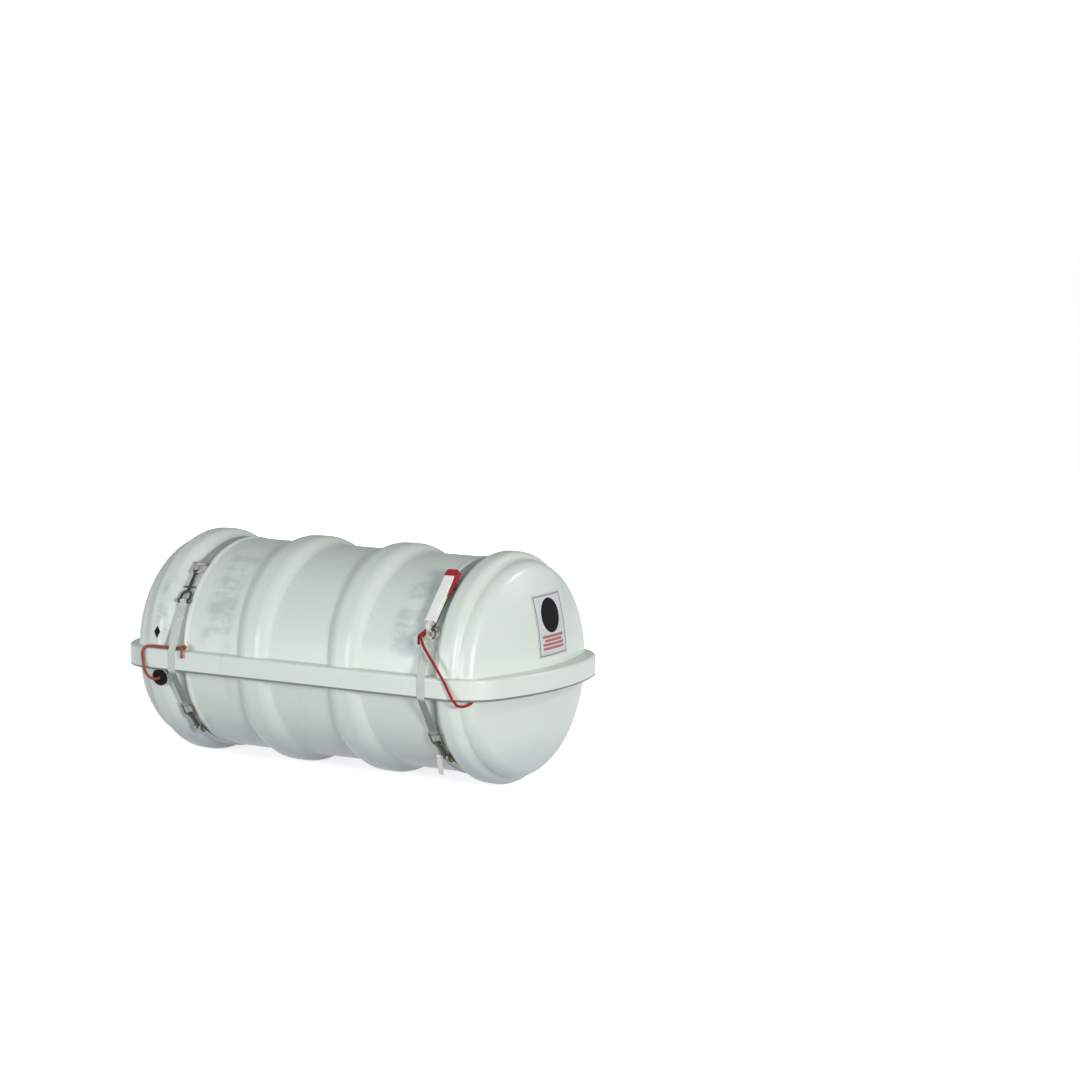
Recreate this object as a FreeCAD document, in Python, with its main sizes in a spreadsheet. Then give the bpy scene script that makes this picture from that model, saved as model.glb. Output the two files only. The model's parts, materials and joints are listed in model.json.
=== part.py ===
"""Liferaft canister: a two-part glass-fibre drum, closed by two band stations.

Axes: X runs along the drum, -Y is the front, +Z is up. The origin is on the ground under the middle of the drum,
which stands on moulded flats under its hoop ribs. Most pieces are made about the drum's axis, or in a frame that
lies tangent to the drum, and are then placed. All sizes are millimetres, and all angles are degrees above the
drum's mid-plane, seen from the right end with the front on the left.
"""
import FreeCAD, Part
import math
import os

Vector = FreeCAD.Vector
Placement = FreeCAD.Placement
Rotation = FreeCAD.Rotation

SIZES = [
    # drum
    ("drum_radius", 317.0), ("wall", 5.0), ("dome_reach", 664.0), ("dome_shoulder", 38.0),
    ("dome_bow", 800.0), ("rib_height", 24.0), ("rib_sink", 9.0), ("inner_rib_x", 164.0),
    ("inner_crest_half", 17.0), ("inner_flank", 68.0), ("outer_rib_x", 522.0),
    ("outer_crest_half", 13.0), ("dome_flank", 42.0), ("foot_flat_depth", 2.5), ("ridge_height", 4.0),
    ("ridge_half", 10.0), ("channel_margin", 2.0),
    # rim band and the joint between the shells
    ("rim_end_overhang", 49.0), ("rim_side_overhang", 35.0), ("rim_corner", 155.0), ("rim_bow", 740.0),
    ("rim_top", 15.0), ("rim_depth", 63.0), ("rim_round", 8.0), ("lip_thickness", 5.0),
    ("lip_round", 2.2), ("flange_thickness", 5.0), ("gasket_thickness", 3.0), ("gasket_width", 9.0),
    ("gasket_inset", 2.0), ("lip_gap", 1.5), ("tongue_thickness", 4.0), ("tongue_depth", 30.0),
    # bands, straps and their pins
    ("station_left", 440.0), ("station_right", 460.0), ("strap_width", 25.0), ("strap_thickness", 1.6),
    ("seat_gap", 0.3), ("pin_radius", 3.0), ("pin_fit", 0.1), ("eye_wall", 2.4), ("eye_height", 6.5),
    ("pin_head_radius", 5.2), ("pin_head_thickness", 3.0), ("side_play", 0.3),
    # left release fittings
    ("yoke_angle", 52.0), ("yoke_height", 10.5), ("yoke_half_width", 16.0), ("yoke_drop", 36.0),
    ("yoke_wire", 3.5), ("fork_foot_angle", 28.5), ("fork_pin_height", 11.5), ("fork_width", 40.0),
    ("fork_thickness", 5.0), ("fork_tine", 6.8), ("fork_stem", 9.0), ("fork_crotch", 17.0),
    ("fork_bar_drop", 51.0), ("fork_bar_length", 40.0), ("fork_eye_wall", 3.2),
    ("fork_hook_radius", 7.2), ("hook_play", 0.3),
    # right slip hook
    ("slip_angle", 27.0), ("slip_height", 18.0), ("slip_lean", 41.0), ("slip_pin_radius", 2.5),
    ("slip_eye_radius", 5.2), ("slip_finger", 14.0), ("slip_ear", 3.0), ("slip_body_thickness", 5.0),
    ("slip_body_top", -1.0), ("slip_body_length", 138.0), ("slip_tang", 10.0),
    ("slip_ear_length", 17.5), ("finger_bore", 12.2), ("finger_thickness", 4.5),
    ("finger_end_angle", 200.0), ("lever_length", 190.0), ("arm_low", 20.0), ("arm_high", 52.0),
    ("cover_width", 34.0), ("cover_wall", 3.0), ("cover_start", 9.0), ("cover_skirt", 8.0),
    ("cover_round", 3.0), ("grip_length", 26.0), ("grip_bend", 8.6), ("grip_width", 48.0),
    ("grip_overhang", 1.0), ("grip_skirt_length", 66.0), ("grip_skirt", 3.0), ("slip_ring_reach", 8.8),
    ("slip_ring_length", 24.0), ("slip_ring_half", 19.0), ("frame_corner", 6.0),
    ("pull_ring_radius", 7.0), ("pull_ring_wire", 1.2), ("pull_ring_x", 24.5), ("pull_pin_end", 28.0),
    # lower fittings, the same at both stations
    ("buckle_angle", -29.0), ("buckle_length", 40.0), ("buckle_half_width", 19.0),
    ("buckle_wire", 3.0), ("fitting_height", 9.0), ("band_foot_angle", -46.0),
    ("band_foot_height", 10.5), ("hook_thickness", 10.0), ("hook_radius", 8.0), ("hook_shank", 8.0),
    ("clip_radius", 9.5), ("clip_bore", 5.8), ("clip_boss", 7.5), ("clip_gap_end", 30.0),
    ("clip_gap_start", 300.0), ("clip_thickness", 4.0), ("tail_width", 16.0), ("tail_length", 56.0),
    ("tail_bend", 140.0), ("tail_thickness", 1.8),
    # painter, bung and lanyard
    ("bung_x", -500.0), ("bung_angle", -12.5), ("bung_seat_height", 21.0), ("bung_seat_radius", 29.0),
    ("bung_head_radius", 25.0), ("bung_head", 8.0), ("bung_body_radius", 19.8), ("bung_fit", 0.1),
    ("painter_radius", 4.5), ("painter_play", 0.1), ("lanyard_radius", 4.0),
    ("knot_radius", 9.0), ("lanyard_knot_radius", 7.5), ("post_radius", 5.0), ("post_length", 18.0),
    # label on the right dome
    ("label_width", 160.0), ("label_height", 182.0), ("label_thickness", 1.0), ("label_rise", 132.0),
    ("label_side", 40.0),
    # what the canister holds
    ("raft_half_length", 455.0), ("raft_play", 0.5), ("raft_round", 60.0), ("trough_depth", 127.0),
    ("cylinder_radius", 98.0), ("cylinder_left", -440.0), ("cylinder_length", 640.0),
    ("cylinder_round", 60.0), ("cylinder_neck_radius", 17.0), ("cylinder_neck", 16.0),
    ("head_radius", 27.0), ("head_length", 60.0), ("trough_play", 0.5), ("bag_left", 215.0),
    ("bag_length", 225.0), ("bag_round", 30.0), ("lashing_x", 250.0), ("lashing_width", 50.0),
    ("lashing_thickness", 1.8), ("coil_radius", 150.0), ("coil_hole", 60.0), ("coil_thickness", 46.0),
    ("coil_drop", 70.0), ("inner_line_radius", 3.0),
]

doc = FreeCAD.newDocument("LiferaftCanister")
sheet = doc.addObject("Spreadsheet::Sheet", "Sizes")
for row, (alias, value) in enumerate(SIZES, start=1):
    sheet.set(f"A{row}", alias)
    sheet.set(f"B{row}", str(value))
    sheet.setAlias(f"B{row}", alias)
doc.recompute()


def size(alias):
    """The value of one driving dimension."""
    return float(sheet.get(alias))


AXIS_HEIGHT = size("drum_radius") + size("rib_height") - size("foot_flat_depth")
ON_AXIS = Placement(Vector(0, 0, AXIS_HEIGHT), Rotation())
RIM_BOTTOM = size("rim_top") - size("rim_depth")
BUNG_SEAT = size("drum_radius") + size("bung_seat_height")
TROUGH_RISE = size("drum_radius") - size("trough_depth")
RIM_REACH = size("dome_reach") + size("rim_end_overhang")
RIM_WIDTH = size("drum_radius") + size("rim_side_overhang")
UPPER_SEAT = size("rim_top") - size("flange_thickness")
LOWER_SEAT = UPPER_SEAT - size("gasket_thickness")
LOWER_INSET = size("lip_thickness") + size("lip_gap")
EYE_RADIUS = size("pin_radius") + size("pin_fit") + size("eye_wall")
HOLE_RADIUS = size("pin_radius") + size("pin_fit")
STRAP_MIDDLE = size("seat_gap") + size("strap_thickness") / 2
PARTS = []


# ---------------------------------------------------------------- document helpers
def new_body(label, placement=ON_AXIS):
    body = doc.addObject("PartDesign::Body", label)
    body.Label = label
    body.Placement = placement
    PARTS.append(body)
    return body


def plane_of(body, role):
    return next(item for item in body.Origin.OriginFeatures if item.Role == role)


def add_sketch(body, role, name, edges, lift=0.0, offset=None):
    """A sketch on one of the body's origin planes, lifted along the plane's normal."""
    sketch = body.newObject("Sketcher::SketchObject", name)
    sketch.AttachmentSupport = (plane_of(body, role), [""])
    sketch.MapMode = "FlatFace"
    sketch.AttachmentOffset = offset or Placement(Vector(0, 0, lift), Rotation())
    for edge in edges:
        sketch.addGeometry(edge, False)
    return sketch


def extrude(body, kind, name, sketch, length, midplane=False, reverse=False):
    """A Pad or a Pocket. The length is an expression on the sheet."""
    feature = body.newObject("PartDesign::" + kind, name)
    feature.Profile = (sketch, [""])
    feature.setExpression("Length", length)
    feature.Midplane = midplane
    feature.Reversed = reverse
    return feature


def cut_all(body, name, sketch, reverse=False):
    """A Pocket that goes right through on one side of its sketch."""
    feature = body.newObject("PartDesign::Pocket", name)
    feature.Profile = (sketch, [""])
    feature.Type = "ThroughAll"
    feature.Reversed = reverse
    return feature


def cut_both(body, name, sketch, length):
    return extrude(body, "Pocket", name, sketch, length, midplane=True)


def revolve(body, kind, name, sketch):
    """A Revolution or a Groove, all the way round the sketch's own horizontal axis."""
    feature = body.newObject("PartDesign::" + kind, name)
    feature.Profile = (sketch, [""])
    feature.ReferenceAxis = (sketch, ["H_Axis"])
    feature.Angle = 360.0
    return feature


# ---------------------------------------------------------------- outlines
def line(ax, ay, bx, by):
    return Part.LineSegment(Vector(ax, ay, 0), Vector(bx, by, 0))


def circle(x, y, radius):
    return Part.Circle(Vector(x, y, 0), Vector(0, 0, 1), radius)


def arc(x, y, radius, start, end):
    """An arc that runs anticlockwise from start to end."""
    return Part.ArcOfCircle(circle(x, y, radius), math.radians(start), math.radians(end))


def polygon(*points):
    return [line(*points[i - 1], *points[i]) for i in range(len(points))]


def rectangle(left, low, right, high):
    return polygon((left, low), (right, low), (right, high), (left, high))


def dome_points(reach, width, corner, bow):
    """Centre of the corner arc, and the angle at which it runs into the bowed end."""
    centre_x = reach - bow + math.sqrt((bow - corner) ** 2 - (width - corner) ** 2)
    turn = math.degrees(math.atan2(width - corner, centre_x - reach + bow))
    return centre_x, turn


def rim_outline(inset):
    """Plan of the rim band: straight sides, round corners and slightly bowed ends."""
    corner, bow = size("rim_corner"), size("rim_bow")
    centre_x, turn = dome_points(RIM_REACH, RIM_WIDTH, corner, bow)
    centre_y = RIM_WIDTH - corner
    side = RIM_WIDTH - inset
    edges = [line(-centre_x, side, centre_x, side), line(-centre_x, -side, centre_x, -side)]
    edges.append(arc(centre_x, centre_y, corner - inset, turn, 90))
    edges.append(arc(centre_x, -centre_y, corner - inset, -90, -turn))
    edges.append(arc(-centre_x, centre_y, corner - inset, 90, 180 - turn))
    edges.append(arc(-centre_x, -centre_y, corner - inset, 180 + turn, 270))
    edges.append(arc(RIM_REACH - bow, 0, bow - inset, -turn, turn))
    edges.append(arc(bow - RIM_REACH, 0, bow - inset, 180 - turn, 180 + turn))
    return edges


def drum_profile(inset):
    """Half section of the plain drum, closed along its axis."""
    reach, radius = size("dome_reach"), size("drum_radius")
    corner, bow = size("dome_shoulder"), size("dome_bow")
    centre_x, turn = dome_points(reach, radius, corner, bow)
    edges = [line(-centre_x, radius - inset, centre_x, radius - inset)]
    edges.append(arc(centre_x, radius - corner, corner - inset, turn, 90))
    edges.append(arc(reach - bow, 0, bow - inset, 0, turn))
    edges.append(arc(-centre_x, radius - corner, corner - inset, 90, 180 - turn))
    edges.append(arc(bow - reach, 0, bow - inset, 180 - turn, 180))
    edges.append(line(inset - reach, 0, reach - inset, 0))
    return edges


def rib_profile(crest_left, crest_right, left_run, right_run, inset):
    """Section of one hoop rib: a flat crest between two flanks, each of two equal tangent arcs."""
    rise = size("rib_height")
    crest = size("drum_radius") + rise - size("rib_sink")
    foot = crest - rise
    root = foot - rise / 2 - inset
    edges = [line(crest_left, crest - inset, crest_right, crest - inset)]
    ends = []
    for edge_x, run, side in ((crest_left, left_run, -1), (crest_right, right_run, 1)):
        bend = (run * run + rise * rise) / (4 * rise)
        slope = math.degrees(2 * math.atan(rise / run))
        foot_x = edge_x + side * run
        if side > 0:
            edges.append(arc(edge_x, crest - bend, bend - inset, 90 - slope, 90))
            edges.append(arc(foot_x, foot + bend, bend + inset, 270 - slope, 270))
        else:
            edges.append(arc(edge_x, crest - bend, bend - inset, 90, 90 + slope))
            edges.append(arc(foot_x, foot + bend, bend + inset, 270, 270 + slope))
        ends.append(foot_x)
        edges.append(line(foot_x, foot - inset, foot_x, root))
    edges.append(line(ends[0], root, ends[1], root))
    return edges


def outer_flank(station):
    """Run of the outer rib's flank, from its crest down to the strap's channel."""
    channel_edge = size(station) + size("strap_width") / 2 + size("channel_margin")
    return size("outer_rib_x") - size("outer_crest_half") - channel_edge


def rib_sections(inset):
    """All four hoop ribs. The outer flanks stop short of the straps."""
    edges = []
    half, run = size("inner_crest_half"), size("inner_flank")
    for middle in (-size("inner_rib_x"), size("inner_rib_x")):
        edges += rib_profile(middle - half, middle + half, run, run, inset)
    half, run = size("outer_crest_half"), size("dome_flank")
    middle = size("outer_rib_x")
    edges += rib_profile(-middle - half, -middle + half, run, outer_flank("station_left"), inset)
    edges += rib_profile(middle - half, middle + half, outer_flank("station_right"), run, inset)
    return edges


def ridge_sections():
    """The slim ridge along the inner edge of each strap's channel, as a round-topped strip."""
    half, rise, radius = size("ridge_half"), size("ridge_height"), size("drum_radius")
    bend = (half * half + rise * rise) / (2 * rise)
    spread = math.degrees(math.asin(half / bend))
    centre = radius + rise - bend
    edges = []
    for station, side in (("station_left", -1), ("station_right", 1)):
        middle = size(station) - size("strap_width") / 2 - size("channel_margin") - half
        middle *= side
        edges.append(arc(middle, centre, bend, 90 - spread, 90 + spread))
        edges.append(line(middle - half, radius, middle - half, radius - rise / 2))
        edges.append(line(middle - half, radius - rise / 2, middle + half, radius - rise / 2))
        edges.append(line(middle + half, radius - rise / 2, middle + half, radius))
    return edges


def seat_rectangle():
    return rectangle(-RIM_REACH, -RIM_WIDTH, RIM_REACH, RIM_WIDTH)


# ---------------------------------------------------------------- frames on the drum
def polar(angle, radius):
    """Height and depth, from the drum's axis, of a point on the front at this angle."""
    return -radius * math.cos(math.radians(angle)), radius * math.sin(math.radians(angle))


def tangent_rotation(angle):
    """Turns a frame so that its Y climbs the drum and its Z points outwards."""
    return Rotation(Vector(1, 0, 0), 90 - angle)


def front_frame(x, depth, height, angle):
    return Placement(Vector(x, depth, AXIS_HEIGHT + height), tangent_rotation(angle))


def chord_angle(low, high):
    """The lean of a frame whose Y runs from one (depth, height) point to another."""
    return math.degrees(math.atan2(high[0] - low[0], high[1] - low[1]))


# ---------------------------------------------------------------- shells
def drum_outside(body, sink):
    """Drum, ribs and ridges as one solid. The ribs turn about an axis that is shifted by the sink."""
    revolve(body, "Revolution", body.Label + "_drum",
            add_sketch(body, "XZ_Plane", body.Label + "_drum_section", drum_profile(0)))
    shifted = Placement(Vector(0, sink, 0), Rotation())
    revolve(body, "Revolution", body.Label + "_ribs",
            add_sketch(body, "XZ_Plane", body.Label + "_rib_sections", rib_sections(0), offset=shifted))
    revolve(body, "Revolution", body.Label + "_ridges",
            add_sketch(body, "XZ_Plane", body.Label + "_ridge_sections", ridge_sections()))


def drum_inside(body, sink):
    wall = size("wall")
    revolve(body, "Groove", body.Label + "_hollow",
            add_sketch(body, "XZ_Plane", body.Label + "_hollow_section", drum_profile(wall)))
    shifted = Placement(Vector(0, sink, 0), Rotation())
    revolve(body, "Groove", body.Label + "_rib_hollows",
            add_sketch(body, "XZ_Plane", body.Label + "_rib_hollow_sections", rib_sections(wall), offset=shifted))


def rim_edges(shape, height):
    """Names of the shape's edges that follow the rim's outline at this height."""
    found = []
    for number, edge in enumerate(shape.Edges, start=1):
        box = edge.BoundBox
        if abs(box.ZMin - height) > 0.01 or abs(box.ZMax - height) > 0.01:
            continue
        middle = edge.valueAt((edge.FirstParameter + edge.LastParameter) / 2)
        if rim_distance(middle) < 0.05:
            found.append(f"Edge{number}")
    return found


def rim_distance(point):
    """How far a point lies inside the rim's outline, in plan."""
    corner, bow = size("rim_corner"), size("rim_bow")
    centre_x, turn = dome_points(RIM_REACH, RIM_WIDTH, corner, bow)
    centre_y = RIM_WIDTH - corner
    x, y = abs(point.x), abs(point.y)
    if x <= centre_x:
        return abs(RIM_WIDTH - y)
    if math.degrees(math.atan2(y - centre_y, x - centre_x)) > turn:
        return abs(corner - math.hypot(x - centre_x, y - centre_y))
    return abs(bow - math.hypot(x - RIM_REACH + bow, y))


def round_rim(body, name, height, radius):
    doc.recompute()
    base = body.Tip
    fillet = body.newObject("PartDesign::Fillet", name)
    fillet.Base = (base, rim_edges(base.Shape, height))
    fillet.setExpression("Radius", radius)
    return fillet


def upper_shell():
    body = new_body("upper_shell")
    drum_outside(body, size("rib_sink"))
    below = add_sketch(body, "XY_Plane", "upper_parting", seat_rectangle(), lift=UPPER_SEAT)
    cut_all(body, "upper_parting_cut", below)
    plate = add_sketch(body, "XY_Plane", "upper_flange_outline", rim_outline(0), lift=UPPER_SEAT)
    extrude(body, "Pad", "upper_flange", plate, "Sizes.flange_thickness")
    drum_inside(body, size("rib_sink"))
    ring = rim_outline(0) + rim_outline(size("lip_thickness"))
    lip = add_sketch(body, "XY_Plane", "lip_outline", ring, lift=UPPER_SEAT)
    extrude(body, "Pad", "lip", lip, "Sizes.rim_depth - Sizes.flange_thickness", reverse=True)
    round_rim(body, "rim_top_round", size("rim_top"), "Sizes.rim_round")
    round_rim(body, "lip_edge_round", RIM_BOTTOM, "Sizes.lip_round")
    return body


def lower_shell():
    body = new_body("lower_shell")
    drum_outside(body, -size("rib_sink"))
    above = add_sketch(body, "XY_Plane", "lower_parting", seat_rectangle(), lift=LOWER_SEAT)
    cut_all(body, "lower_parting_cut", above, reverse=True)
    plate = add_sketch(body, "XY_Plane", "lower_flange_outline", rim_outline(LOWER_INSET), lift=LOWER_SEAT)
    extrude(body, "Pad", "lower_flange", plate, "Sizes.flange_thickness", reverse=True)
    drum_inside(body, -size("rib_sink"))
    ring = rim_outline(LOWER_INSET) + rim_outline(LOWER_INSET + size("tongue_thickness"))
    tongue = add_sketch(body, "XY_Plane", "tongue_outline", ring, lift=LOWER_SEAT)
    extrude(body, "Pad", "tongue", tongue, "Sizes.flange_thickness + Sizes.tongue_depth", reverse=True)
    seat_frame = Placement(bung_point(BUNG_SEAT), tangent_rotation(size("bung_angle")))
    boss = add_sketch(body, "XY_Plane", "bung_boss_outline", [circle(0, 0, size("bung_seat_radius"))],
                      offset=seat_frame)
    extrude(body, "Pad", "bung_boss", boss, "Sizes.bung_seat_height + Sizes.wall", reverse=True)
    bore = add_sketch(body, "XY_Plane", "bung_bore_outline",
                      [circle(0, 0, size("bung_body_radius") + size("bung_fit"))], offset=seat_frame)
    extrude(body, "Pocket", "bung_bore", bore, "2 * (Sizes.bung_seat_height + Sizes.wall)")
    feet = add_sketch(body, "XY_Plane", "foot_outline", seat_rectangle(), lift=-AXIS_HEIGHT)
    cut_all(body, "foot_flats", feet)
    return body


def bung_point(radius):
    """A point on the bung's axis, from the middle of the drum's axis."""
    depth, height = polar(size("bung_angle"), radius)
    return Vector(size("bung_x"), depth, height)


def rim_gasket():
    body = new_body("rim_gasket")
    inset = LOWER_INSET + size("gasket_inset")
    ring = rim_outline(inset) + rim_outline(inset + size("gasket_width"))
    outline = add_sketch(body, "XY_Plane", "gasket_outline", ring, lift=LOWER_SEAT)
    extrude(body, "Pad", "gasket_ring", outline, "Sizes.gasket_thickness")
    return body


# ---------------------------------------------------------------- straps
def belt(stops, width_step):
    """A strap's side line. Each stop is a (depth, height, radius) circle that it turns round clockwise."""
    normals = []
    for (ay, az, ar), (by, bz, br) in zip(stops, stops[1:]):
        length = math.hypot(by - ay, bz - az)
        along = ((by - ay) / length, (bz - az) / length)
        lean = (ar - br) / length
        rest = math.sqrt(1 - lean * lean)
        normals.append((along[0] * lean - along[1] * rest, along[1] * lean + along[0] * rest))
    edges, ends = [], []
    for i, normal in enumerate(normals):
        touch = []
        for y, z, radius in (stops[i], stops[i + 1]):
            reach = radius + width_step
            touch.append((y + normal[0] * reach, z + normal[1] * reach))
        edges.append(line(*touch[0], *touch[1]))
        ends.append(touch)
        if i + 1 < len(normals):
            y, z, radius = stops[i + 1]
            after = normals[i + 1]
            start = math.degrees(math.atan2(after[1], after[0]))
            end = math.degrees(math.atan2(normal[1], normal[0]))
            if end < start:
                end += 360
            edges.append(arc(y, z, radius + width_step, start, end))
    return edges, ends[0][0], ends[-1][1]


def strap_outline(stops):
    half = size("strap_thickness") / 2
    outer, outer_start, outer_end = belt(stops, half)
    inner, inner_start, inner_end = belt(stops, -half)
    return outer + inner + [line(*outer_start, *inner_start), line(*outer_end, *inner_end)]


def rim_stop(side, top):
    """The circle that a strap turns round at the rim's top or bottom edge."""
    bend = size("rim_round") if top else size("lip_round")
    height = size("rim_top") - bend if top else RIM_BOTTOM + bend
    return side * (RIM_WIDTH - bend), height, bend + STRAP_MIDDLE


def eyed_strap(label, x, stops, split=()):
    """A strap with a pin eye at each end. Eyes that are named in split get a gap for a hook or a tang."""
    body = new_body(label, Placement(Vector(x, 0, AXIS_HEIGHT), Rotation()))
    ends = (stops[0][:2], stops[-1][:2])
    extrude(body, "Pad", label + "_band", add_sketch(body, "YZ_Plane", label + "_path", strap_outline(stops)),
            "Sizes.strap_width", midplane=True)
    for name, (y, z) in zip(("first", "last"), ends):
        eye = add_sketch(body, "YZ_Plane", f"{label}_{name}_eye_outline", [circle(y, z, EYE_RADIUS)])
        extrude(body, "Pad", f"{label}_{name}_eye", eye, "Sizes.strap_width", midplane=True)
        if name in split:
            gap = add_sketch(body, "YZ_Plane", f"{label}_{name}_gap_outline",
                             [circle(y, z, EYE_RADIUS + size("side_play") * 3)])
            cut_both(body, f"{label}_{name}_gap", gap, "Sizes.hook_thickness + 2 * Sizes.side_play")
    holes = add_sketch(body, "YZ_Plane", label + "_holes", [circle(y, z, HOLE_RADIUS) for y, z in ends])
    cut_both(body, label + "_bores", holes, "2 * Sizes.strap_width")
    return body


def drum_stop():
    return 0.0, 0.0, size("drum_radius") + STRAP_MIDDLE


def eye_point(angle, height):
    return polar(angle, size("drum_radius") + height)


def band_foot():
    """The main bands' lower eye, in front and under the rim."""
    return eye_point(size("band_foot_angle"), size("band_foot_height"))


def main_band(label, x, start, split):
    """From the upper front eye over the top, down the back across the rim, and round the bottom."""
    end = band_foot()
    stops = [(*start, 0.0), drum_stop(), rim_stop(1, True), rim_stop(1, False), drum_stop(), (*end, 0.0)]
    return eyed_strap(label, x, stops, split)


def rim_strap(label, x, upper):
    """The short strap over the front of the rim, from the lower eye up to the upper one."""
    lower = eye_point(size("buckle_angle"), size("fitting_height"))
    stops = [(*lower, 0.0), rim_stop(-1, False), rim_stop(-1, True), (*upper, 0.0)]
    return eyed_strap(label, x, stops)


# ---------------------------------------------------------------- pins and rods
def headed_pin(label, frame, left, length):
    """A straight pin along X from left, as long as the expression says, with a flat head outside each end."""
    body = new_body(label, frame)
    rod = add_sketch(body, "YZ_Plane", label + "_section", [circle(0, 0, size("pin_radius"))], lift=left)
    extrude(body, "Pad", label + "_shank", rod, length)
    right = left + float(body.evalExpression(length))
    outline = [circle(0, 0, size("pin_head_radius"))]
    for name, x, back in (("left", left, True), ("right", right, False)):
        disc = add_sketch(body, "YZ_Plane", f"{label}_{name}_head_outline", outline, lift=x)
        extrude(body, "Pad", f"{label}_{name}_head", disc, "Sizes.pin_head_thickness", reverse=back)
    return body


def rod_along(path, radius, start, direction):
    """A round rod swept along a wire of tangent lines and arcs."""
    section = Part.Wire(Part.makeCircle(radius, start, direction))
    return path.makePipeShell([section], True, False)


def add_feature(label, shape, placement):
    part = doc.addObject("Part::Feature", label)
    part.Label = label
    part.Shape = shape
    part.Placement = placement
    PARTS.append(part)
    return part


def wire_of(edges):
    return Part.Wire([edge.toShape() for edge in edges])


# ---------------------------------------------------------------- left station, front
def yoke_eye():
    """The left main band's upper eye, on the front of the drum."""
    return eye_point(size("yoke_angle"), size("yoke_height"))


def yoke_frame():
    """On the main band's upper left eye, with Y climbing the drum."""
    return front_frame(-size("station_left"), *yoke_eye(), size("yoke_angle"))


def fork_ends():
    """The fork's pivot in the yoke's bow, and the crosspin that it hooks over, as depths and heights."""
    depth, height = yoke_eye()
    lean = math.radians(size("yoke_angle"))
    pivot = (depth - size("yoke_drop") * math.sin(lean), height - size("yoke_drop") * math.cos(lean))
    return pivot, eye_point(size("fork_foot_angle"), size("fork_pin_height"))


def fork_frame():
    pivot, foot = fork_ends()
    return front_frame(-size("station_left"), *pivot, chord_angle(foot, pivot))


def yoke():
    """A bent rod: two eyes on the band's pin, and a round bow that carries the fork."""
    wire, half, drop = size("yoke_wire"), size("yoke_half_width"), size("yoke_drop")
    path = [line(-half, 0, -half, half - drop), arc(0, half - drop, half, 180, 360),
            line(half, half - drop, half, 0)]
    rod = rod_along(wire_of(path), wire, Vector(-half, 0, 0), Vector(0, -1, 0))
    bore = Part.makeCylinder(HOLE_RADIUS, 4 * half, Vector(-2 * half, 0, 0), Vector(1, 0, 0))
    for side in (-half, half):
        eye = Part.makeCylinder(EYE_RADIUS, 2 * (half - size("strap_width") / 2 - size("side_play")),
                                Vector(side - half + size("strap_width") / 2 + size("side_play"), 0, 0),
                                Vector(1, 0, 0))
        rod = rod.fuse(eye)
    return add_feature("yoke", rod.cut(bore).removeSplitter(), yoke_frame())


def yoke_reach():
    """Half the width over the yoke's two legs."""
    return size("yoke_half_width") + size("yoke_wire") + size("side_play")


def release_fork():
    """A forged fork: an eye on the yoke's bow, a stem with a crossbar, and two tines that hook the crosspin."""
    pivot, foot = fork_ends()
    length = math.hypot(pivot[0] - foot[0], pivot[1] - foot[1])
    body = new_body("release_fork", fork_frame())
    tine, outer = size("fork_tine"), size("fork_width") / 2
    inner = outer - tine
    crotch = size("fork_crotch") - length
    stem = size("fork_stem") / 2
    bore = size("yoke_wire") + 3 * size("side_play")
    eye_radius = bore + size("fork_eye_wall")
    plate = [arc(0, crotch, outer, 0, 180), line(-outer, crotch, -outer, -length),
             line(-outer, -length, -inner, -length), line(-inner, -length, -inner, crotch),
             arc(0, crotch, inner, 0, 180), line(inner, crotch, inner, -length),
             line(inner, -length, outer, -length), line(outer, -length, outer, crotch)]
    extrude(body, "Pad", "fork_tines", add_sketch(body, "XY_Plane", "fork_outline", plate),
            "Sizes.fork_thickness", midplane=True)
    shaft = rectangle(-stem, crotch + (inner + outer) / 2, stem, -bore)
    extrude(body, "Pad", "fork_stem", add_sketch(body, "XY_Plane", "stem_outline", shaft),
            "Sizes.fork_thickness", midplane=True)
    bar = add_sketch(body, "YZ_Plane", "crossbar_section", [circle(-size("fork_bar_drop"), 0, size("pin_radius"))])
    extrude(body, "Pad", "fork_crossbar", bar, "Sizes.fork_bar_length", midplane=True)
    eye = add_sketch(body, "YZ_Plane", "fork_eye_outline", [circle(0, 0, eye_radius)])
    extrude(body, "Pad", "fork_eye", eye, "Sizes.fork_stem", midplane=True)
    hooks = add_sketch(body, "YZ_Plane", "fork_hook_outline", [circle(-length, 0, size("fork_hook_radius"))])
    extrude(body, "Pad", "fork_hooks", hooks, "Sizes.fork_width", midplane=True)
    between = add_sketch(body, "XY_Plane", "fork_gap_outline",
                         rectangle(-inner, -length - outer, inner, crotch))
    cut_both(body, "fork_gap", between, "4 * Sizes.fork_hook_radius")
    mouth = size("pin_radius") + size("hook_play")
    slot = [arc(-length, 0, mouth, 0, 180), line(-length - mouth, 0, -length - mouth, -outer),
            line(-length - mouth, -outer, -length + mouth, -outer),
            line(-length + mouth, -outer, -length + mouth, 0)]
    mouths = add_sketch(body, "YZ_Plane", "fork_mouth_outline", slot)
    cut_both(body, "fork_mouths", mouths, "2 * Sizes.fork_width")
    bow = add_sketch(body, "YZ_Plane", "fork_bore_outline", [circle(0, 0, bore)])
    cut_both(body, "fork_bore", bow, "2 * Sizes.fork_stem")
    return body


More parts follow.
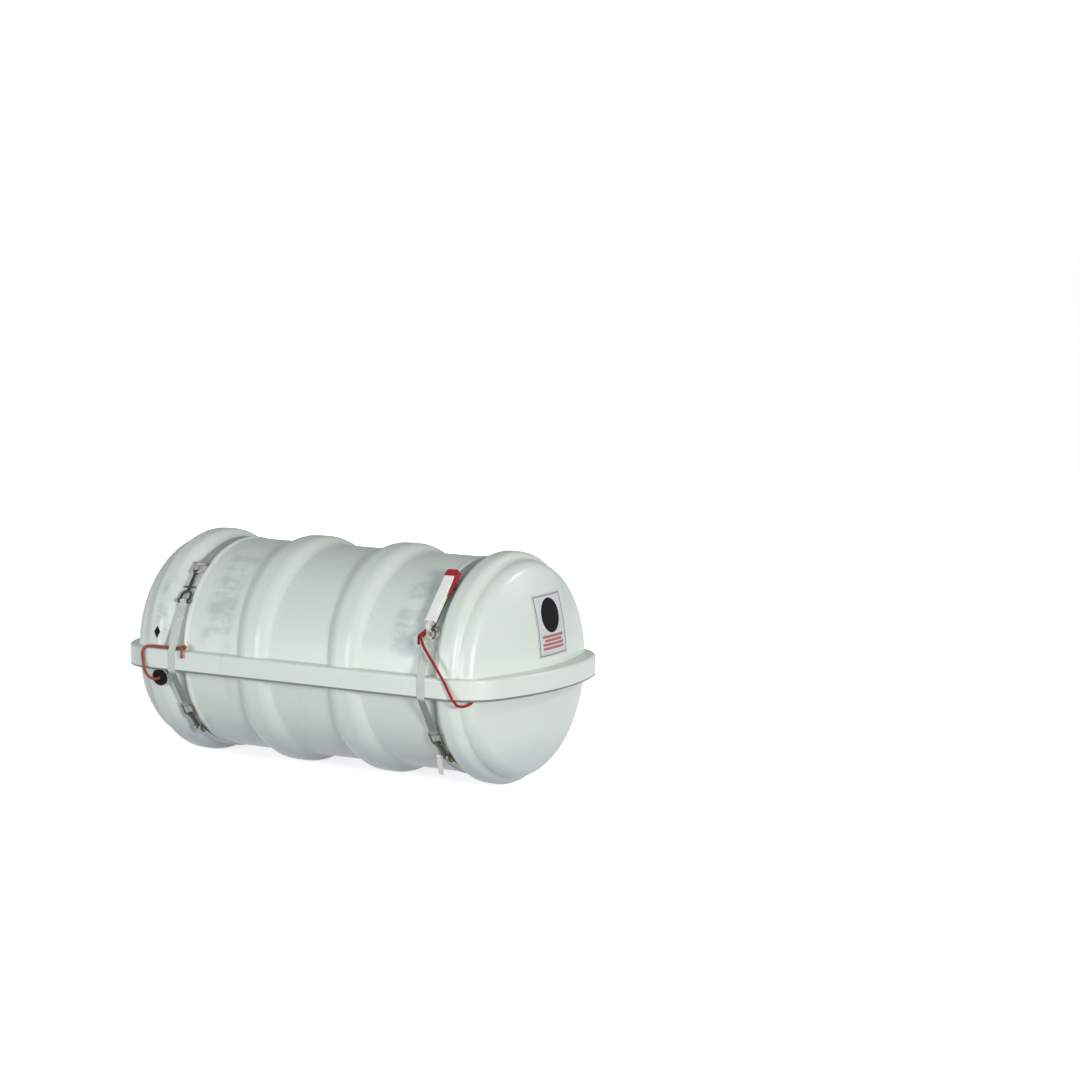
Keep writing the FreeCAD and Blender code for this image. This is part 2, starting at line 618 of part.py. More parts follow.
def left_station():
    x = -size("station_left")
    main_band("main_band_left", x, yoke_eye(), ("last",))
    yoke()
    headed_pin("yoke_pin", yoke_frame(), -yoke_reach(),
               "2 * (Sizes.yoke_half_width + Sizes.yoke_wire + Sizes.side_play)")
    release_fork()
    foot = fork_ends()[1]
    half = size("fork_width") / 2 + size("side_play")
    headed_pin("fork_crosspin", front_frame(x, *foot, size("fork_foot_angle")), -half,
               "Sizes.fork_width + 2 * Sizes.side_play")
    rim_strap("rim_strap_left", x, foot)


# ---------------------------------------------------------------- right station, front
def slip_frame():
    """On the slip hook's hinge, with Y along the closed lever and Z away from the drum."""
    depth, height = eye_point(size("slip_angle"), size("slip_height"))
    return front_frame(size("station_right"), depth, height, size("slip_lean"))


def slip_local(depth, height):
    """A point of the drum's section, in the slip hook's own Y and Z."""
    hinge_depth, hinge_height = eye_point(size("slip_angle"), size("slip_height"))
    lean = math.radians(size("slip_lean"))
    away_y, away_z = depth - hinge_depth, height - hinge_height
    return (away_y * math.sin(lean) + away_z * math.cos(lean),
            away_z * math.sin(lean) - away_y * math.cos(lean))


def slip_world(y, z):
    """A point in the slip hook's Y and Z, as a depth and a height from the drum's axis."""
    hinge_depth, hinge_height = eye_point(size("slip_angle"), size("slip_height"))
    lean = math.radians(size("slip_lean"))
    return (hinge_depth + y * math.sin(lean) - z * math.cos(lean),
            hinge_height + y * math.cos(lean) + z * math.sin(lean))


def band_pin_local():
    """Where the right band's upper eye lies: at the slip body's far end, one eye height above the drum."""
    centre_y, centre_z = slip_local(0.0, 0.0)
    reach = size("drum_radius") + size("eye_height")
    y = size("slip_body_length")
    return y, centre_z + math.sqrt(reach * reach - (y - centre_y) ** 2)


def band_pin_world():
    return slip_world(*band_pin_local())


def slip_body():
    """The plate that carries the load: two ears on the hinge pin, and a tang in the band's split eye."""
    body = new_body("slip_body", slip_frame())
    top, thickness = size("slip_body_top"), size("slip_body_thickness")
    eye, ear = size("slip_eye_radius"), size("slip_ear_length")
    half = size("slip_finger") / 2 + size("side_play")
    pin_y, pin_z = band_pin_local()
    bar = rectangle(0, top - thickness, pin_y, top)
    extrude(body, "Pad", "slip_bar", add_sketch(body, "YZ_Plane", "slip_bar_section", bar),
            "Sizes.slip_finger + 2 * Sizes.slip_ear + 2 * Sizes.side_play", midplane=True)
    ears = add_sketch(body, "YZ_Plane", "slip_ear_outline", [circle(0, 0, eye)])
    extrude(body, "Pad", "slip_ears", ears, "Sizes.slip_finger + 2 * Sizes.slip_ear + 2 * Sizes.side_play",
            midplane=True)
    fork = add_sketch(body, "XY_Plane", "slip_gap_outline", rectangle(-half, -2 * eye, half, ear))
    cut_both(body, "slip_gap", fork, "8 * Sizes.slip_eye_radius")
    tang = add_sketch(body, "YZ_Plane", "slip_tang_outline", [circle(pin_y, pin_z, EYE_RADIUS)])
    extrude(body, "Pad", "slip_tang", tang, "Sizes.slip_tang", midplane=True)
    outer = half + 2 * size("slip_ear")
    shoulder = pin_y - 2 * EYE_RADIUS
    for name, left, right in (("left", -outer, -size("slip_tang") / 2), ("right", size("slip_tang") / 2, outer)):
        waist = add_sketch(body, "XY_Plane", f"slip_{name}_waist_outline",
                           rectangle(left, shoulder, right, pin_y + 2 * EYE_RADIUS))
        cut_both(body, f"slip_{name}_waist", waist, "8 * Sizes.slip_eye_radius")
    holes = [circle(0, 0, size("slip_pin_radius") + size("pin_fit")), circle(pin_y, pin_z, HOLE_RADIUS)]
    cut_both(body, "slip_bores", add_sketch(body, "YZ_Plane", "slip_bore_outline", holes),
             "4 * Sizes.slip_finger")
    return body


def slip_tongue():
    """A finger that curls round the ring from outside, and the flat bar under the lever's cover."""
    body = new_body("slip_tongue", slip_frame())
    bore = size("finger_bore")
    outer = bore + size("finger_thickness")
    low, end = size("arm_low"), size("finger_end_angle")
    curl = [arc(0, 0, outer, low, end), arc(0, 0, bore, low, end)]
    for angle in (low, end):
        curl.append(line(*spoke(bore, angle), *spoke(outer, angle)))
    extrude(body, "Pad", "finger", add_sketch(body, "YZ_Plane", "finger_outline", curl),
            "Sizes.slip_finger", midplane=True)
    middle = (bore + outer) / 2
    arm = polygon((0, 0), spoke(middle, low), spoke(middle, size("arm_high")))
    extrude(body, "Pad", "finger_arm", add_sketch(body, "YZ_Plane", "finger_arm_outline", arm),
            "Sizes.slip_finger", midplane=True)
    boss = add_sketch(body, "YZ_Plane", "finger_boss_outline", [circle(0, 0, size("slip_eye_radius"))])
    extrude(body, "Pad", "finger_boss", boss, "Sizes.slip_finger", midplane=True)
    bar = rectangle(0, bore, size("lever_length") - size("grip_skirt"), outer)
    extrude(body, "Pad", "lever_bar", add_sketch(body, "YZ_Plane", "lever_bar_outline", bar),
            "Sizes.slip_finger", midplane=True)
    hole = add_sketch(body, "YZ_Plane", "finger_bore_outline",
                      [circle(0, 0, size("slip_pin_radius") + size("pin_fit"))])
    cut_both(body, "finger_hole", hole, "2 * Sizes.slip_finger")
    return body


def spoke(radius, angle):
    return radius * math.cos(math.radians(angle)), radius * math.sin(math.radians(angle))


def lever_top():
    """Height of the tongue's outer face over the hinge: the cover's underside rests on it."""
    return size("finger_bore") + size("finger_thickness")


def lever_cover():
    """A white channel over the tongue, with rounded shoulders."""
    body = new_body("lever_cover", slip_frame())
    half, wall, bend = size("cover_width") / 2, size("cover_wall"), size("cover_round")
    top, low = lever_top() + wall, size("cover_skirt")
    inner = half - wall
    outline = [line(-half, low, -half, top - bend), arc(-half + bend, top - bend, bend, 90, 180),
               line(-half + bend, top, half - bend, top), arc(half - bend, top - bend, bend, 0, 90),
               line(half, top - bend, half, low), line(half, low, inner, low),
               line(inner, low, inner, top - wall), line(inner, top - wall, -inner, top - wall),
               line(-inner, top - wall, -inner, low), line(-inner, low, -half, low)]
    section = add_sketch(body, "XZ_Plane", "cover_section", outline, lift=-size("cover_start"))
    extrude(body, "Pad", "cover_channel", section,
            "Sizes.lever_length - Sizes.grip_length - Sizes.cover_start", reverse=True)
    return body


def lever_grip():
    """The red end of the lever: a cap over the bar's tip that turns down, with a skirt along one side."""
    body = new_body("lever_grip", slip_frame())
    end, start = size("lever_length"), size("lever_length") - size("grip_length")
    wall = size("cover_wall")
    top, low = lever_top() + wall + 1, size("cover_skirt") - 1
    bend = size("grip_bend")
    toe = low - bend
    cap = [line(start, low, start, top), line(start, top, end - bend, top),
           arc(end - bend, top - bend, bend, 0, 90), line(end, top - bend, end, toe),
           line(end, toe, end - bend, toe), line(end - bend, toe, end - bend, low),
           line(end - bend, low, start, low)]
    left = -size("cover_width") / 2 - size("grip_overhang")
    extrude(body, "Pad", "grip_cap", add_sketch(body, "YZ_Plane", "grip_outline", cap, lift=left),
            "Sizes.grip_width")
    inner = size("cover_width") / 2 + size("side_play")
    skirt = polygon((start + wall, low - wall), (start + wall, top - wall),
                    (start - size("grip_skirt_length"), low + 2 * wall),
                    (start - size("grip_skirt_length"), low + wall))
    side = add_sketch(body, "YZ_Plane", "grip_skirt_outline", skirt, lift=inner)
    extrude(body, "Pad", "grip_skirt", side,
            "Sizes.grip_width - Sizes.grip_overhang - Sizes.cover_width - Sizes.side_play")
    half = size("slip_finger") / 2
    socket = add_sketch(body, "XZ_Plane", "grip_socket_outline",
                        rectangle(-half, size("finger_bore"), half, lever_top()), lift=-start)
    extrude(body, "Pocket", "grip_socket", socket, "Sizes.grip_length - Sizes.grip_skirt")
    return body


def pull_direction():
    """Unit step, in the slip hook's Y and Z, from the hinge towards the rim's upper edge."""
    y, z = slip_local(-RIM_WIDTH, size("rim_top"))
    length = math.hypot(y, z)
    return y / length, z / length


def ring_bar_world(extra):
    """The middle of the ring's upper bar, or a point further down the pull by the extra length."""
    y, z = pull_direction()
    reach = size("slip_ring_reach") + extra
    return slip_world(y * reach, z * reach)


def wire_frame(label, placement, half, length, wire, corner):
    """A closed frame of round wire in the XY plane, hung from the middle of its upper bar."""
    path = [line(0, 0, half - corner, 0), arc(half - corner, -corner, corner, 0, 90),
            line(half, -corner, half, corner - length), arc(half - corner, corner - length, corner, -90, 0),
            line(half - corner, -length, corner - half, -length),
            arc(corner - half, corner - length, corner, 180, 270),
            line(-half, corner - length, -half, -corner), arc(corner - half, -corner, corner, 90, 180),
            line(corner - half, 0, 0, 0)]
    rod = rod_along(wire_of(path), wire, Vector(0, 0, 0), Vector(1, 0, 0))
    return add_feature(label, rod, placement)


def slip_ring():
    upper, lower = ring_bar_world(0), ring_bar_world(size("slip_ring_length"))
    frame = front_frame(size("station_right"), *upper, chord_angle(lower, upper))
    return wire_frame("slip_ring", frame, size("slip_ring_half"), size("slip_ring_length"),
                      size("pin_radius"), size("frame_corner"))


def hinge_pin():
    """The slip hook's hinge, drawn out on the right to a drilled end for the pull ring."""
    half = size("slip_finger") / 2 + size("side_play") + size("slip_ear")
    rod = Part.makeCylinder(size("slip_pin_radius"), half + size("pull_pin_end"), Vector(-half, 0, 0),
                            Vector(1, 0, 0))
    head = Part.makeCylinder(size("slip_eye_radius"), size("pin_head_thickness"),
                             Vector(-half - size("pin_head_thickness"), 0, 0), Vector(1, 0, 0))
    hole = Part.makeCylinder(size("pull_ring_wire") + 2 * size("side_play"), 4 * size("slip_pin_radius"),
                             Vector(size("pull_ring_x"), 0, -2 * size("slip_pin_radius")), Vector(0, 0, 1))
    return add_feature("slip_hinge_pin", rod.fuse(head).cut(hole), slip_frame())


def pull_ring():
    radius, wire = size("pull_ring_radius"), size("pull_ring_wire")
    ring = Part.makeTorus(radius, wire, Vector(size("pull_ring_x"), -radius, 0), Vector(1, 0, 0))
    return add_feature("pull_ring", ring, slip_frame())


def right_station():
    x = size("station_right")
    main_band("main_band_right", x, band_pin_world(), ("first", "last"))
    slip_body()
    depth, height = band_pin_world()
    half = size("strap_width") / 2 + size("side_play")
    headed_pin("band_pin", front_frame(x, depth, height, size("slip_lean")), -half,
               "Sizes.strap_width + 2 * Sizes.side_play")
    slip_tongue()
    lever_cover()
    lever_grip()
    hinge_pin()
    pull_ring()
    slip_ring()
    rim_strap("rim_strap_right", x, ring_bar_world(size("slip_ring_length")))


# ---------------------------------------------------------------- lower fittings
def buckle_points():
    """The buckle's upper and lower bars. Both lie at the fitting height over the drum."""
    reach = size("drum_radius") + size("fitting_height")
    step = math.degrees(2 * math.asin(size("buckle_length") / 2 / reach))
    upper = eye_point(size("buckle_angle"), size("fitting_height"))
    lower = eye_point(size("buckle_angle") - step, size("fitting_height"))
    return upper, lower


def buckle(label, x):
    upper, lower = buckle_points()
    frame = front_frame(x, *upper, chord_angle(lower, upper))
    return wire_frame(label, frame, size("buckle_half_width"), size("buckle_length"),
                      size("buckle_wire"), size("frame_corner"))


def hook_frame(x):
    """On the main band's lower eye, with Y towards the buckle's lower bar."""
    foot = band_foot()
    return front_frame(x, *foot, chord_angle(foot, buckle_points()[1]))


def lower_hook(label, x):
    """A flat hook: a bored eye, a shank, and a mouth that is open towards the drum."""
    foot, bar = band_foot(), buckle_points()[1]
    length = math.hypot(bar[0] - foot[0], bar[1] - foot[1])
    body = new_body(label, hook_frame(x))
    half = size("hook_shank") / 2
    for name, outline in (("eye", [circle(0, 0, EYE_RADIUS)]), ("shank", rectangle(0, -half, length, half)),
                          ("head", [circle(length, 0, size("hook_radius"))])):
        extrude(body, "Pad", f"{label}_{name}", add_sketch(body, "YZ_Plane", f"{label}_{name}_outline", outline),
                "Sizes.hook_thickness", midplane=True)
    mouth = size("buckle_wire") + size("hook_play")
    deep = -2 * size("hook_radius")
    slot = [arc(length, 0, mouth, 0, 180), line(length - mouth, 0, length - mouth, deep),
            line(length - mouth, deep, length + mouth, deep), line(length + mouth, deep, length + mouth, 0)]
    cut_both(body, label + "_mouth", add_sketch(body, "YZ_Plane", label + "_mouth_outline", slot),
             "2 * Sizes.hook_thickness")
    bore = add_sketch(body, "YZ_Plane", label + "_bore_outline", [circle(0, 0, HOLE_RADIUS)])
    cut_both(body, label + "_bore", bore, "2 * Sizes.hook_thickness")
    return body


def hook_clip(label, x):
    """A C-shaped clip on the end of the hook pin, open at the lower right."""
    body = new_body(label, hook_frame(x))
    left = size("strap_width") / 2 + size("side_play")
    outer, bore = size("clip_radius"), size("clip_bore")
    middle = left + outer + size("side_play")
    boss = add_sketch(body, "YZ_Plane", label + "_boss_outline", [circle(0, 0, size("clip_boss"))], lift=left)
    extrude(body, "Pad", label + "_boss", boss, "Sizes.clip_thickness")
    gap = (size("clip_gap_end"), size("clip_gap_start"))
    curl = [arc(middle, 0, outer, *gap), arc(middle, 0, bore, *gap)]
    for angle in gap:
        start, end = spoke(bore, angle), spoke(outer, angle)
        curl.append(line(middle + start[0], start[1], middle + end[0], end[1]))
    plate = add_sketch(body, "XY_Plane", label + "_curl_outline", curl,
                       lift=size("pin_head_radius") + size("side_play"))
    extrude(body, "Pad", label + "_curl", plate, "Sizes.clip_thickness")
    hole = add_sketch(body, "YZ_Plane", label + "_hole_outline", [circle(0, 0, HOLE_RADIUS)])
    cut_both(body, label + "_hole", hole, "4 * Sizes.strap_width")
    return body


def band_tail(label, x):
    """A loose end of white webbing, looped on the hook pin and hanging down."""
    foot = band_foot()
    body = new_body(label, front_frame(x, *foot, 0.0))
    bend, half = size("tail_bend"), size("tail_thickness") / 2
    turn = math.degrees(size("tail_length") / bend)
    strip = [arc(0, -bend, bend + half, 90, 90 + turn), arc(0, -bend, bend - half, 90, 90 + turn)]
    for angle in (90, 90 + turn):
        start, end = spoke(bend - half, angle), spoke(bend + half, angle)
        strip.append(line(start[0], start[1] - bend, end[0], end[1] - bend))
    left = -size("strap_width") / 2 - size("side_play") - size("tail_width")
    for name, outline in (("strip", strip), ("loop", [circle(0, 0, EYE_RADIUS)])):
        sketch = add_sketch(body, "YZ_Plane", f"{label}_{name}_outline", outline, lift=left)
        extrude(body, "Pad", f"{label}_{name}", sketch, "Sizes.tail_width")
    hole = add_sketch(body, "YZ_Plane", label + "_hole_outline", [circle(0, 0, HOLE_RADIUS)])
    cut_both(body, label + "_hole", hole, "4 * Sizes.strap_width")
    return body


def lower_fittings():
    half = size("strap_width") / 2 + size("side_play")
    eye_and_clip = "Sizes.strap_width + 3 * Sizes.side_play + Sizes.clip_thickness"
    tail = " + Sizes.tail_width + Sizes.side_play"
    for side, x, left, length in (
            ("left", -size("station_left"), half, eye_and_clip),
            ("right", size("station_right"), half + size("tail_width") + size("side_play"), eye_and_clip + tail)):
        buckle("lower_buckle_" + side, x)
        lower_hook("lower_hook_" + side, x)
        headed_pin("hook_pin_" + side, hook_frame(x), -left, length)
        hook_clip("hook_clip_" + side, x)
    band_tail("band_tail", size("station_right"))


# ---------------------------------------------------------------- painter, bung, lanyard and label
def cord(label, points, radius):
    """A round cord: straight runs joined by tangent arcs, each as large as its two runs allow."""
    nodes = [Vector(*point) for point in points]
    edges, bends, start = [], [], nodes[0]
    for before, here, after in zip(nodes, nodes[1:], nodes[2:]):
        inward, outward = (here - before), (after - here)
        turn = inward.getAngle(outward)
        set_back = 0.45 * min(inward.Length, outward.Length)
        bend = set_back / math.tan(turn / 2)
        bends.append(round(bend, 1))
        inward.normalize()
        outward.normalize()
        first, last = here - inward * set_back, here + outward * set_back
        across = (outward - inward)
        across.normalize()
        centre = here + across * (bend / math.cos(turn / 2))
        middle = centre - across * bend
        edges.append(Part.LineSegment(start, first).toShape())
        edges.append(Part.Arc(first, middle, last).toShape())
        start = last
    edges.append(Part.LineSegment(start, nodes[-1]).toShape())
    path = Part.Wire(edges)
    solid = rod_along(path, radius, nodes[0], nodes[1] - nodes[0])
    ideal = math.pi * radius * radius * path.Length
    print(label, "length", round(path.Length, 1), "bends", bends, "volume ratio", round(solid.Volume / ideal, 4))
    return add_feature(label, solid, ON_AXIS)


def painter_bung():
    body = new_body("painter_bung", Placement(bung_point(BUNG_SEAT) + Vector(0, 0, AXIS_HEIGHT),
                                              tangent_rotation(size("bung_angle"))))
    head = add_sketch(body, "XY_Plane", "bung_head_outline", [circle(0, 0, size("bung_head_radius"))])
    extrude(body, "Pad", "bung_head", head, "Sizes.bung_head")
    plug = add_sketch(body, "XY_Plane", "bung_plug_outline", [circle(0, 0, size("bung_body_radius"))])
    extrude(body, "Pad", "bung_plug", plug, "Sizes.bung_seat_height + Sizes.wall", reverse=True)
    hole = add_sketch(body, "XY_Plane", "bung_hole_outline",
                      [circle(0, 0, size("painter_radius") + size("painter_play"))])
    cut_both(body, "bung_hole", hole, "6 * (Sizes.bung_seat_height + Sizes.wall)")
    return body


def knot_ball(point, towards, radius, cord_radius):
    """A round knot, bored from its middle for the cord that runs into it."""
    centre = Vector(*point)
    bore = Part.makeCylinder(cord_radius + size("painter_play"), 2 * radius, centre, Vector(*towards) - centre)
    return Part.makeSphere(radius, centre).cut(bore)


def painter_knot():
    ball = knot_ball(PAINTER_KNOT, PAINTER_ROUTE[-1], size("knot_radius"), size("painter_radius"))
    return add_feature("painter_knot", ball, ON_AXIS)


def lanyard_knot():
    """Tied round the left leg of the slip ring."""
    left = size("station_right") - size("slip_ring_half")
    upper = Vector(left, *ring_bar_world(0))
    lower = Vector(left, *ring_bar_world(size("slip_ring_length")))
    ball = knot_ball((upper + lower) / 2, LANYARD_ROUTE[0], size("lanyard_knot_radius"), size("lanyard_radius"))
    bore = Part.makeCylinder(HOLE_RADIUS, 2 * (lower - upper).Length, upper * 1.5 - lower * 0.5, lower - upper)
    return add_feature("lanyard_knot", ball.cut(bore), ON_AXIS)


PAINTER_ROUTE = [
    (-478, -150.6, -71), (-479, -174, -69), (-487, -209, -56), (-497, -249, -55.4), (-500, -292, -64.7),
    (-500, -331.9, -73.6), (-500, -352, -78), (-511, -365, -73), (-526, -369, -59), (-538, -363, -41),
    (-545, -357, -20), (-547, -359, 1), (-541, -352, 19), (-524, -340, 20.6), (-500, -338.4, 19.8),
    (-470, -337.6, 20.2), (-440, -338.6, 20.0), (-424, -338, 20.9), (-412, -337.6, 23.3),
]
PAINTER_KNOT = (-405.1, -337.4, 24.7)
LANYARD_ROUTE = [
    (441.1, -309.8, 134.1), (441.5, -318.3, 137.3), (446, -330, 128), (455, -338, 113), (469, -345, 97),
    (488, -351, 78), (508, -355.5, 56), (528, -357.5, 31), (547, -357.4, 3), (562, -357.4, -23),
    (575, -357.2, -45), (584, -350.5, -57), (593, -338.5, -60.5), (603, -323, -58), (610, -309, -48.5),
    (612, -301.5, -34), (612, -300.2, -16.3),
]
FIRING_ROUTE = [
    (-478, 0, 80.2), (-478.3, -1, 98), (-482, -7, 121), (-485.8, -1.5, 145), (-486.1, 0, 162.6),
]


def post():
    """A cleat post under the lower flange, where the lanyard ends."""
    top = LOWER_SEAT - size("flange_thickness")
    rod = Part.makeCylinder(size("post_radius"), size("post_length"),
                            Vector(LANYARD_ROUTE[-1][0], LANYARD_ROUTE[-1][1], top), Vector(0, 0, -1))
    return add_feature("lanyard_post", rod, ON_AXIS)


def end_label():
    """A thin plate that follows the bowed end of the drum."""
    bow, gap = size("dome_bow"), size("seat_gap")
    centre = Vector(size("dome_reach") - bow, 0, 0)
    shell = Part.makeSphere(bow + gap + size("label_thickness"), centre).cut(Part.makeSphere(bow + gap, centre))
    low = Vector(0, size("label_side") - size("label_width") / 2, size("label_rise") - size("label_height") / 2)
    block = Part.makeBox(2 * bow, size("label_width"), size("label_height"), low)
    return add_feature("end_label", shell.common(block), ON_AXIS)


# ---------------------------------------------------------------- contents
def raft_bundle():
    """The folded raft in its wrap, with a trough for the gas cylinder and shallow seats for the lashings."""
    body = new_body("raft_bundle")
    radius = size("drum_radius") - size("wall") - size("raft_play")
    reach, bend = size("raft_half_length"), size("raft_round")
    section = [line(bend - reach, radius, reach - bend, radius), arc(reach - bend, radius - bend, bend, 0, 90),
               line(reach, radius - bend, reach, 0), line(reach, 0, -reach, 0),
               line(-reach, 0, -reach, radius - bend), arc(bend - reach, radius - bend, bend, 90, 180)]
    revolve(body, "Revolution", "raft_roll", add_sketch(body, "XZ_Plane", "raft_section", section))
    rise, bore = TROUGH_RISE, size("cylinder_radius") + size("trough_play")
    trough = [arc(0, rise, bore, 180, 360), line(-bore, rise, -bore, 2 * radius),
              line(-bore, 2 * radius, bore, 2 * radius), line(bore, 2 * radius, bore, rise)]
    cut_both(body, "raft_trough", add_sketch(body, "YZ_Plane", "trough_outline", trough),
             "4 * Sizes.raft_half_length")
    seat = radius - size("seat_gap") * 2 - size("lashing_thickness")
    half = size("lashing_width") / 2 + size("side_play")
    grooves = []
    for middle in (-size("lashing_x"), size("lashing_x")):
        grooves += rectangle(middle - half, seat, middle + half, 2 * radius)
    revolve(body, "Groove", "lashing_seats", add_sketch(body, "XZ_Plane", "lashing_seat_sections", grooves))
    return body


def lashing(label, middle):
    body = new_body(label)
    inner = size("drum_radius") - size("wall") - size("raft_play") - size("seat_gap") - size("lashing_thickness")
    half = size("lashing_width") / 2
    section = rectangle(middle - half, inner, middle + half, inner + size("lashing_thickness"))
    revolve(body, "Revolution", label + "_loop", add_sketch(body, "XZ_Plane", label + "_section", section))
    return body


def gas_cylinder():
    """A steel gas bottle with domed ends and a neck towards the painter's end."""
    body = new_body("gas_cylinder", ON_AXIS.multiply(Placement(Vector(0, 0, TROUGH_RISE), Rotation())))
    left, radius, bend = size("cylinder_left"), size("cylinder_radius"), size("cylinder_round")
    right, neck = left + size("cylinder_length"), size("cylinder_neck_radius")
    section = [line(left - size("cylinder_neck"), 0, right, 0), line(right, 0, right, radius - bend),
               arc(right - bend, radius - bend, bend, 0, 90), line(right - bend, radius, left + bend, radius),
               arc(left + bend, radius - bend, bend, 90, 180), line(left, radius - bend, left, neck),
               line(left, neck, left - size("cylinder_neck"), neck),
               line(left - size("cylinder_neck"), neck, left - size("cylinder_neck"), 0)]
    revolve(body, "Revolution", "cylinder_turned", add_sketch(body, "XZ_Plane", "cylinder_section", section))
    return body


def turned_piece(label, placement, left, right, radius, bend=0.0):
    """A solid of revolution along X with flat ends, and round edges where a bend is given."""
    body = new_body(label, placement)
    if bend:
        section = [line(left, 0, right, 0), line(right, 0, right, radius - bend),
                   arc(right - bend, radius - bend, bend, 0, 90), line(right - bend, radius, left + bend, radius),
                   arc(left + bend, radius - bend, bend, 90, 180), line(left, radius - bend, left, 0)]
    else:
        section = rectangle(left, 0, right, radius)
    revolve(body, "Revolution", label + "_turned", add_sketch(body, "XZ_Plane", label + "_section", section))
    return body


def contents():
    raft_bundle()
    lashing("lashing_left", -size("lashing_x"))
    lashing("lashing_right", size("lashing_x"))
    gas_cylinder()
    in_trough = ON_AXIS.multiply(Placement(Vector(0, 0, TROUGH_RISE), Rotation()))
    neck_end = size("cylinder_left") - size("cylinder_neck")
    turned_piece("operating_head", in_trough, neck_end - size("head_length"), neck_end, size("head_radius"))
    turned_piece("equipment_bag", in_trough, size("bag_left"), size("bag_left") + size("bag_length"),
                 size("cylinder_radius"), size("bag_round"))
    coil = Part.makeCylinder(size("coil_radius"), size("coil_thickness"),
                             Vector(-size("raft_half_length") - size("seat_gap") - size("coil_thickness"), 0,
                                    -size("coil_drop")), Vector(1, 0, 0))
    hole = Part.makeCylinder(size("coil_hole"), 2 * size("raft_half_length"),
                             Vector(-2 * size("raft_half_length"), 0, -size("coil_drop")), Vector(1, 0, 0))
    add_feature("painter_coil", coil.cut(hole), ON_AXIS)
    cord("firing_line", FIRING_ROUTE, size("inner_line_radius"))


# ---------------------------------------------------------------- build
upper_shell()
lower_shell()
rim_gasket()
left_station()
right_station()
lower_fittings()
painter_bung()
cord("painter_line", PAINTER_ROUTE, size("painter_radius"))
painter_knot()
cord("lanyard", LANYARD_ROUTE, size("lanyard_radius"))
lanyard_knot()
post()
end_label()
contents()
doc.recompute()

for item in doc.Objects:
    if "Invalid" in item.State or "Error" in item.State:
        raise RuntimeError(f"{item.Name} failed: {item.State}")
os.makedirs("parts", exist_ok=True)
for part in PARTS:
    shape = part.Shape
    if shape.isNull() or not shape.isValid():
        raise RuntimeError(f"{part.Label} has no valid shape")
for part in PARTS:
    part.Shape.exportStep(os.path.join("parts", part.Label + ".step"))
print(len(PARTS), "parts written")
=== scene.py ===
import bpy
import bmesh
import json
import math
import random
from mathutils import Matrix, Vector
from mathutils.bvhtree import BVHTree

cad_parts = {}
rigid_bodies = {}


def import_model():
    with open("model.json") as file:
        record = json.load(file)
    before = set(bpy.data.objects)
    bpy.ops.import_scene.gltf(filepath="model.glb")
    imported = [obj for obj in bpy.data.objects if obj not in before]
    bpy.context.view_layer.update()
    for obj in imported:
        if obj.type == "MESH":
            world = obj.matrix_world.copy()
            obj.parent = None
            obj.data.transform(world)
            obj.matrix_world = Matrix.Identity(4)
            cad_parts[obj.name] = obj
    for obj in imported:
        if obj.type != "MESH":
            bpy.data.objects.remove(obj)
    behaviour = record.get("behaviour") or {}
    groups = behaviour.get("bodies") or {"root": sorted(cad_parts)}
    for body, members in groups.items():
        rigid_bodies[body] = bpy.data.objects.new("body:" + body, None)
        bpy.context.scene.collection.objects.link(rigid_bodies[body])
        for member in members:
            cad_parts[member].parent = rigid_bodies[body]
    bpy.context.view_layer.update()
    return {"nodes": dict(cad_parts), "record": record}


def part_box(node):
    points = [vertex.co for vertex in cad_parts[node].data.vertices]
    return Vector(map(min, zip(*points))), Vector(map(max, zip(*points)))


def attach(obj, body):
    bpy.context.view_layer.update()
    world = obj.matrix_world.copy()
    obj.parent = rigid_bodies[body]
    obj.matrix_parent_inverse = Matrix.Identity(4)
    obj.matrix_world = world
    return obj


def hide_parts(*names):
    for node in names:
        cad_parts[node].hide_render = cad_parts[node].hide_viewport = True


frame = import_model()
record = frame["record"]
nodes = frame["nodes"]
AXIS = 0.3385  # height of the drum's axis over the floor, in metres
BODY = record["behaviour"]["joints"][0]["parent"]


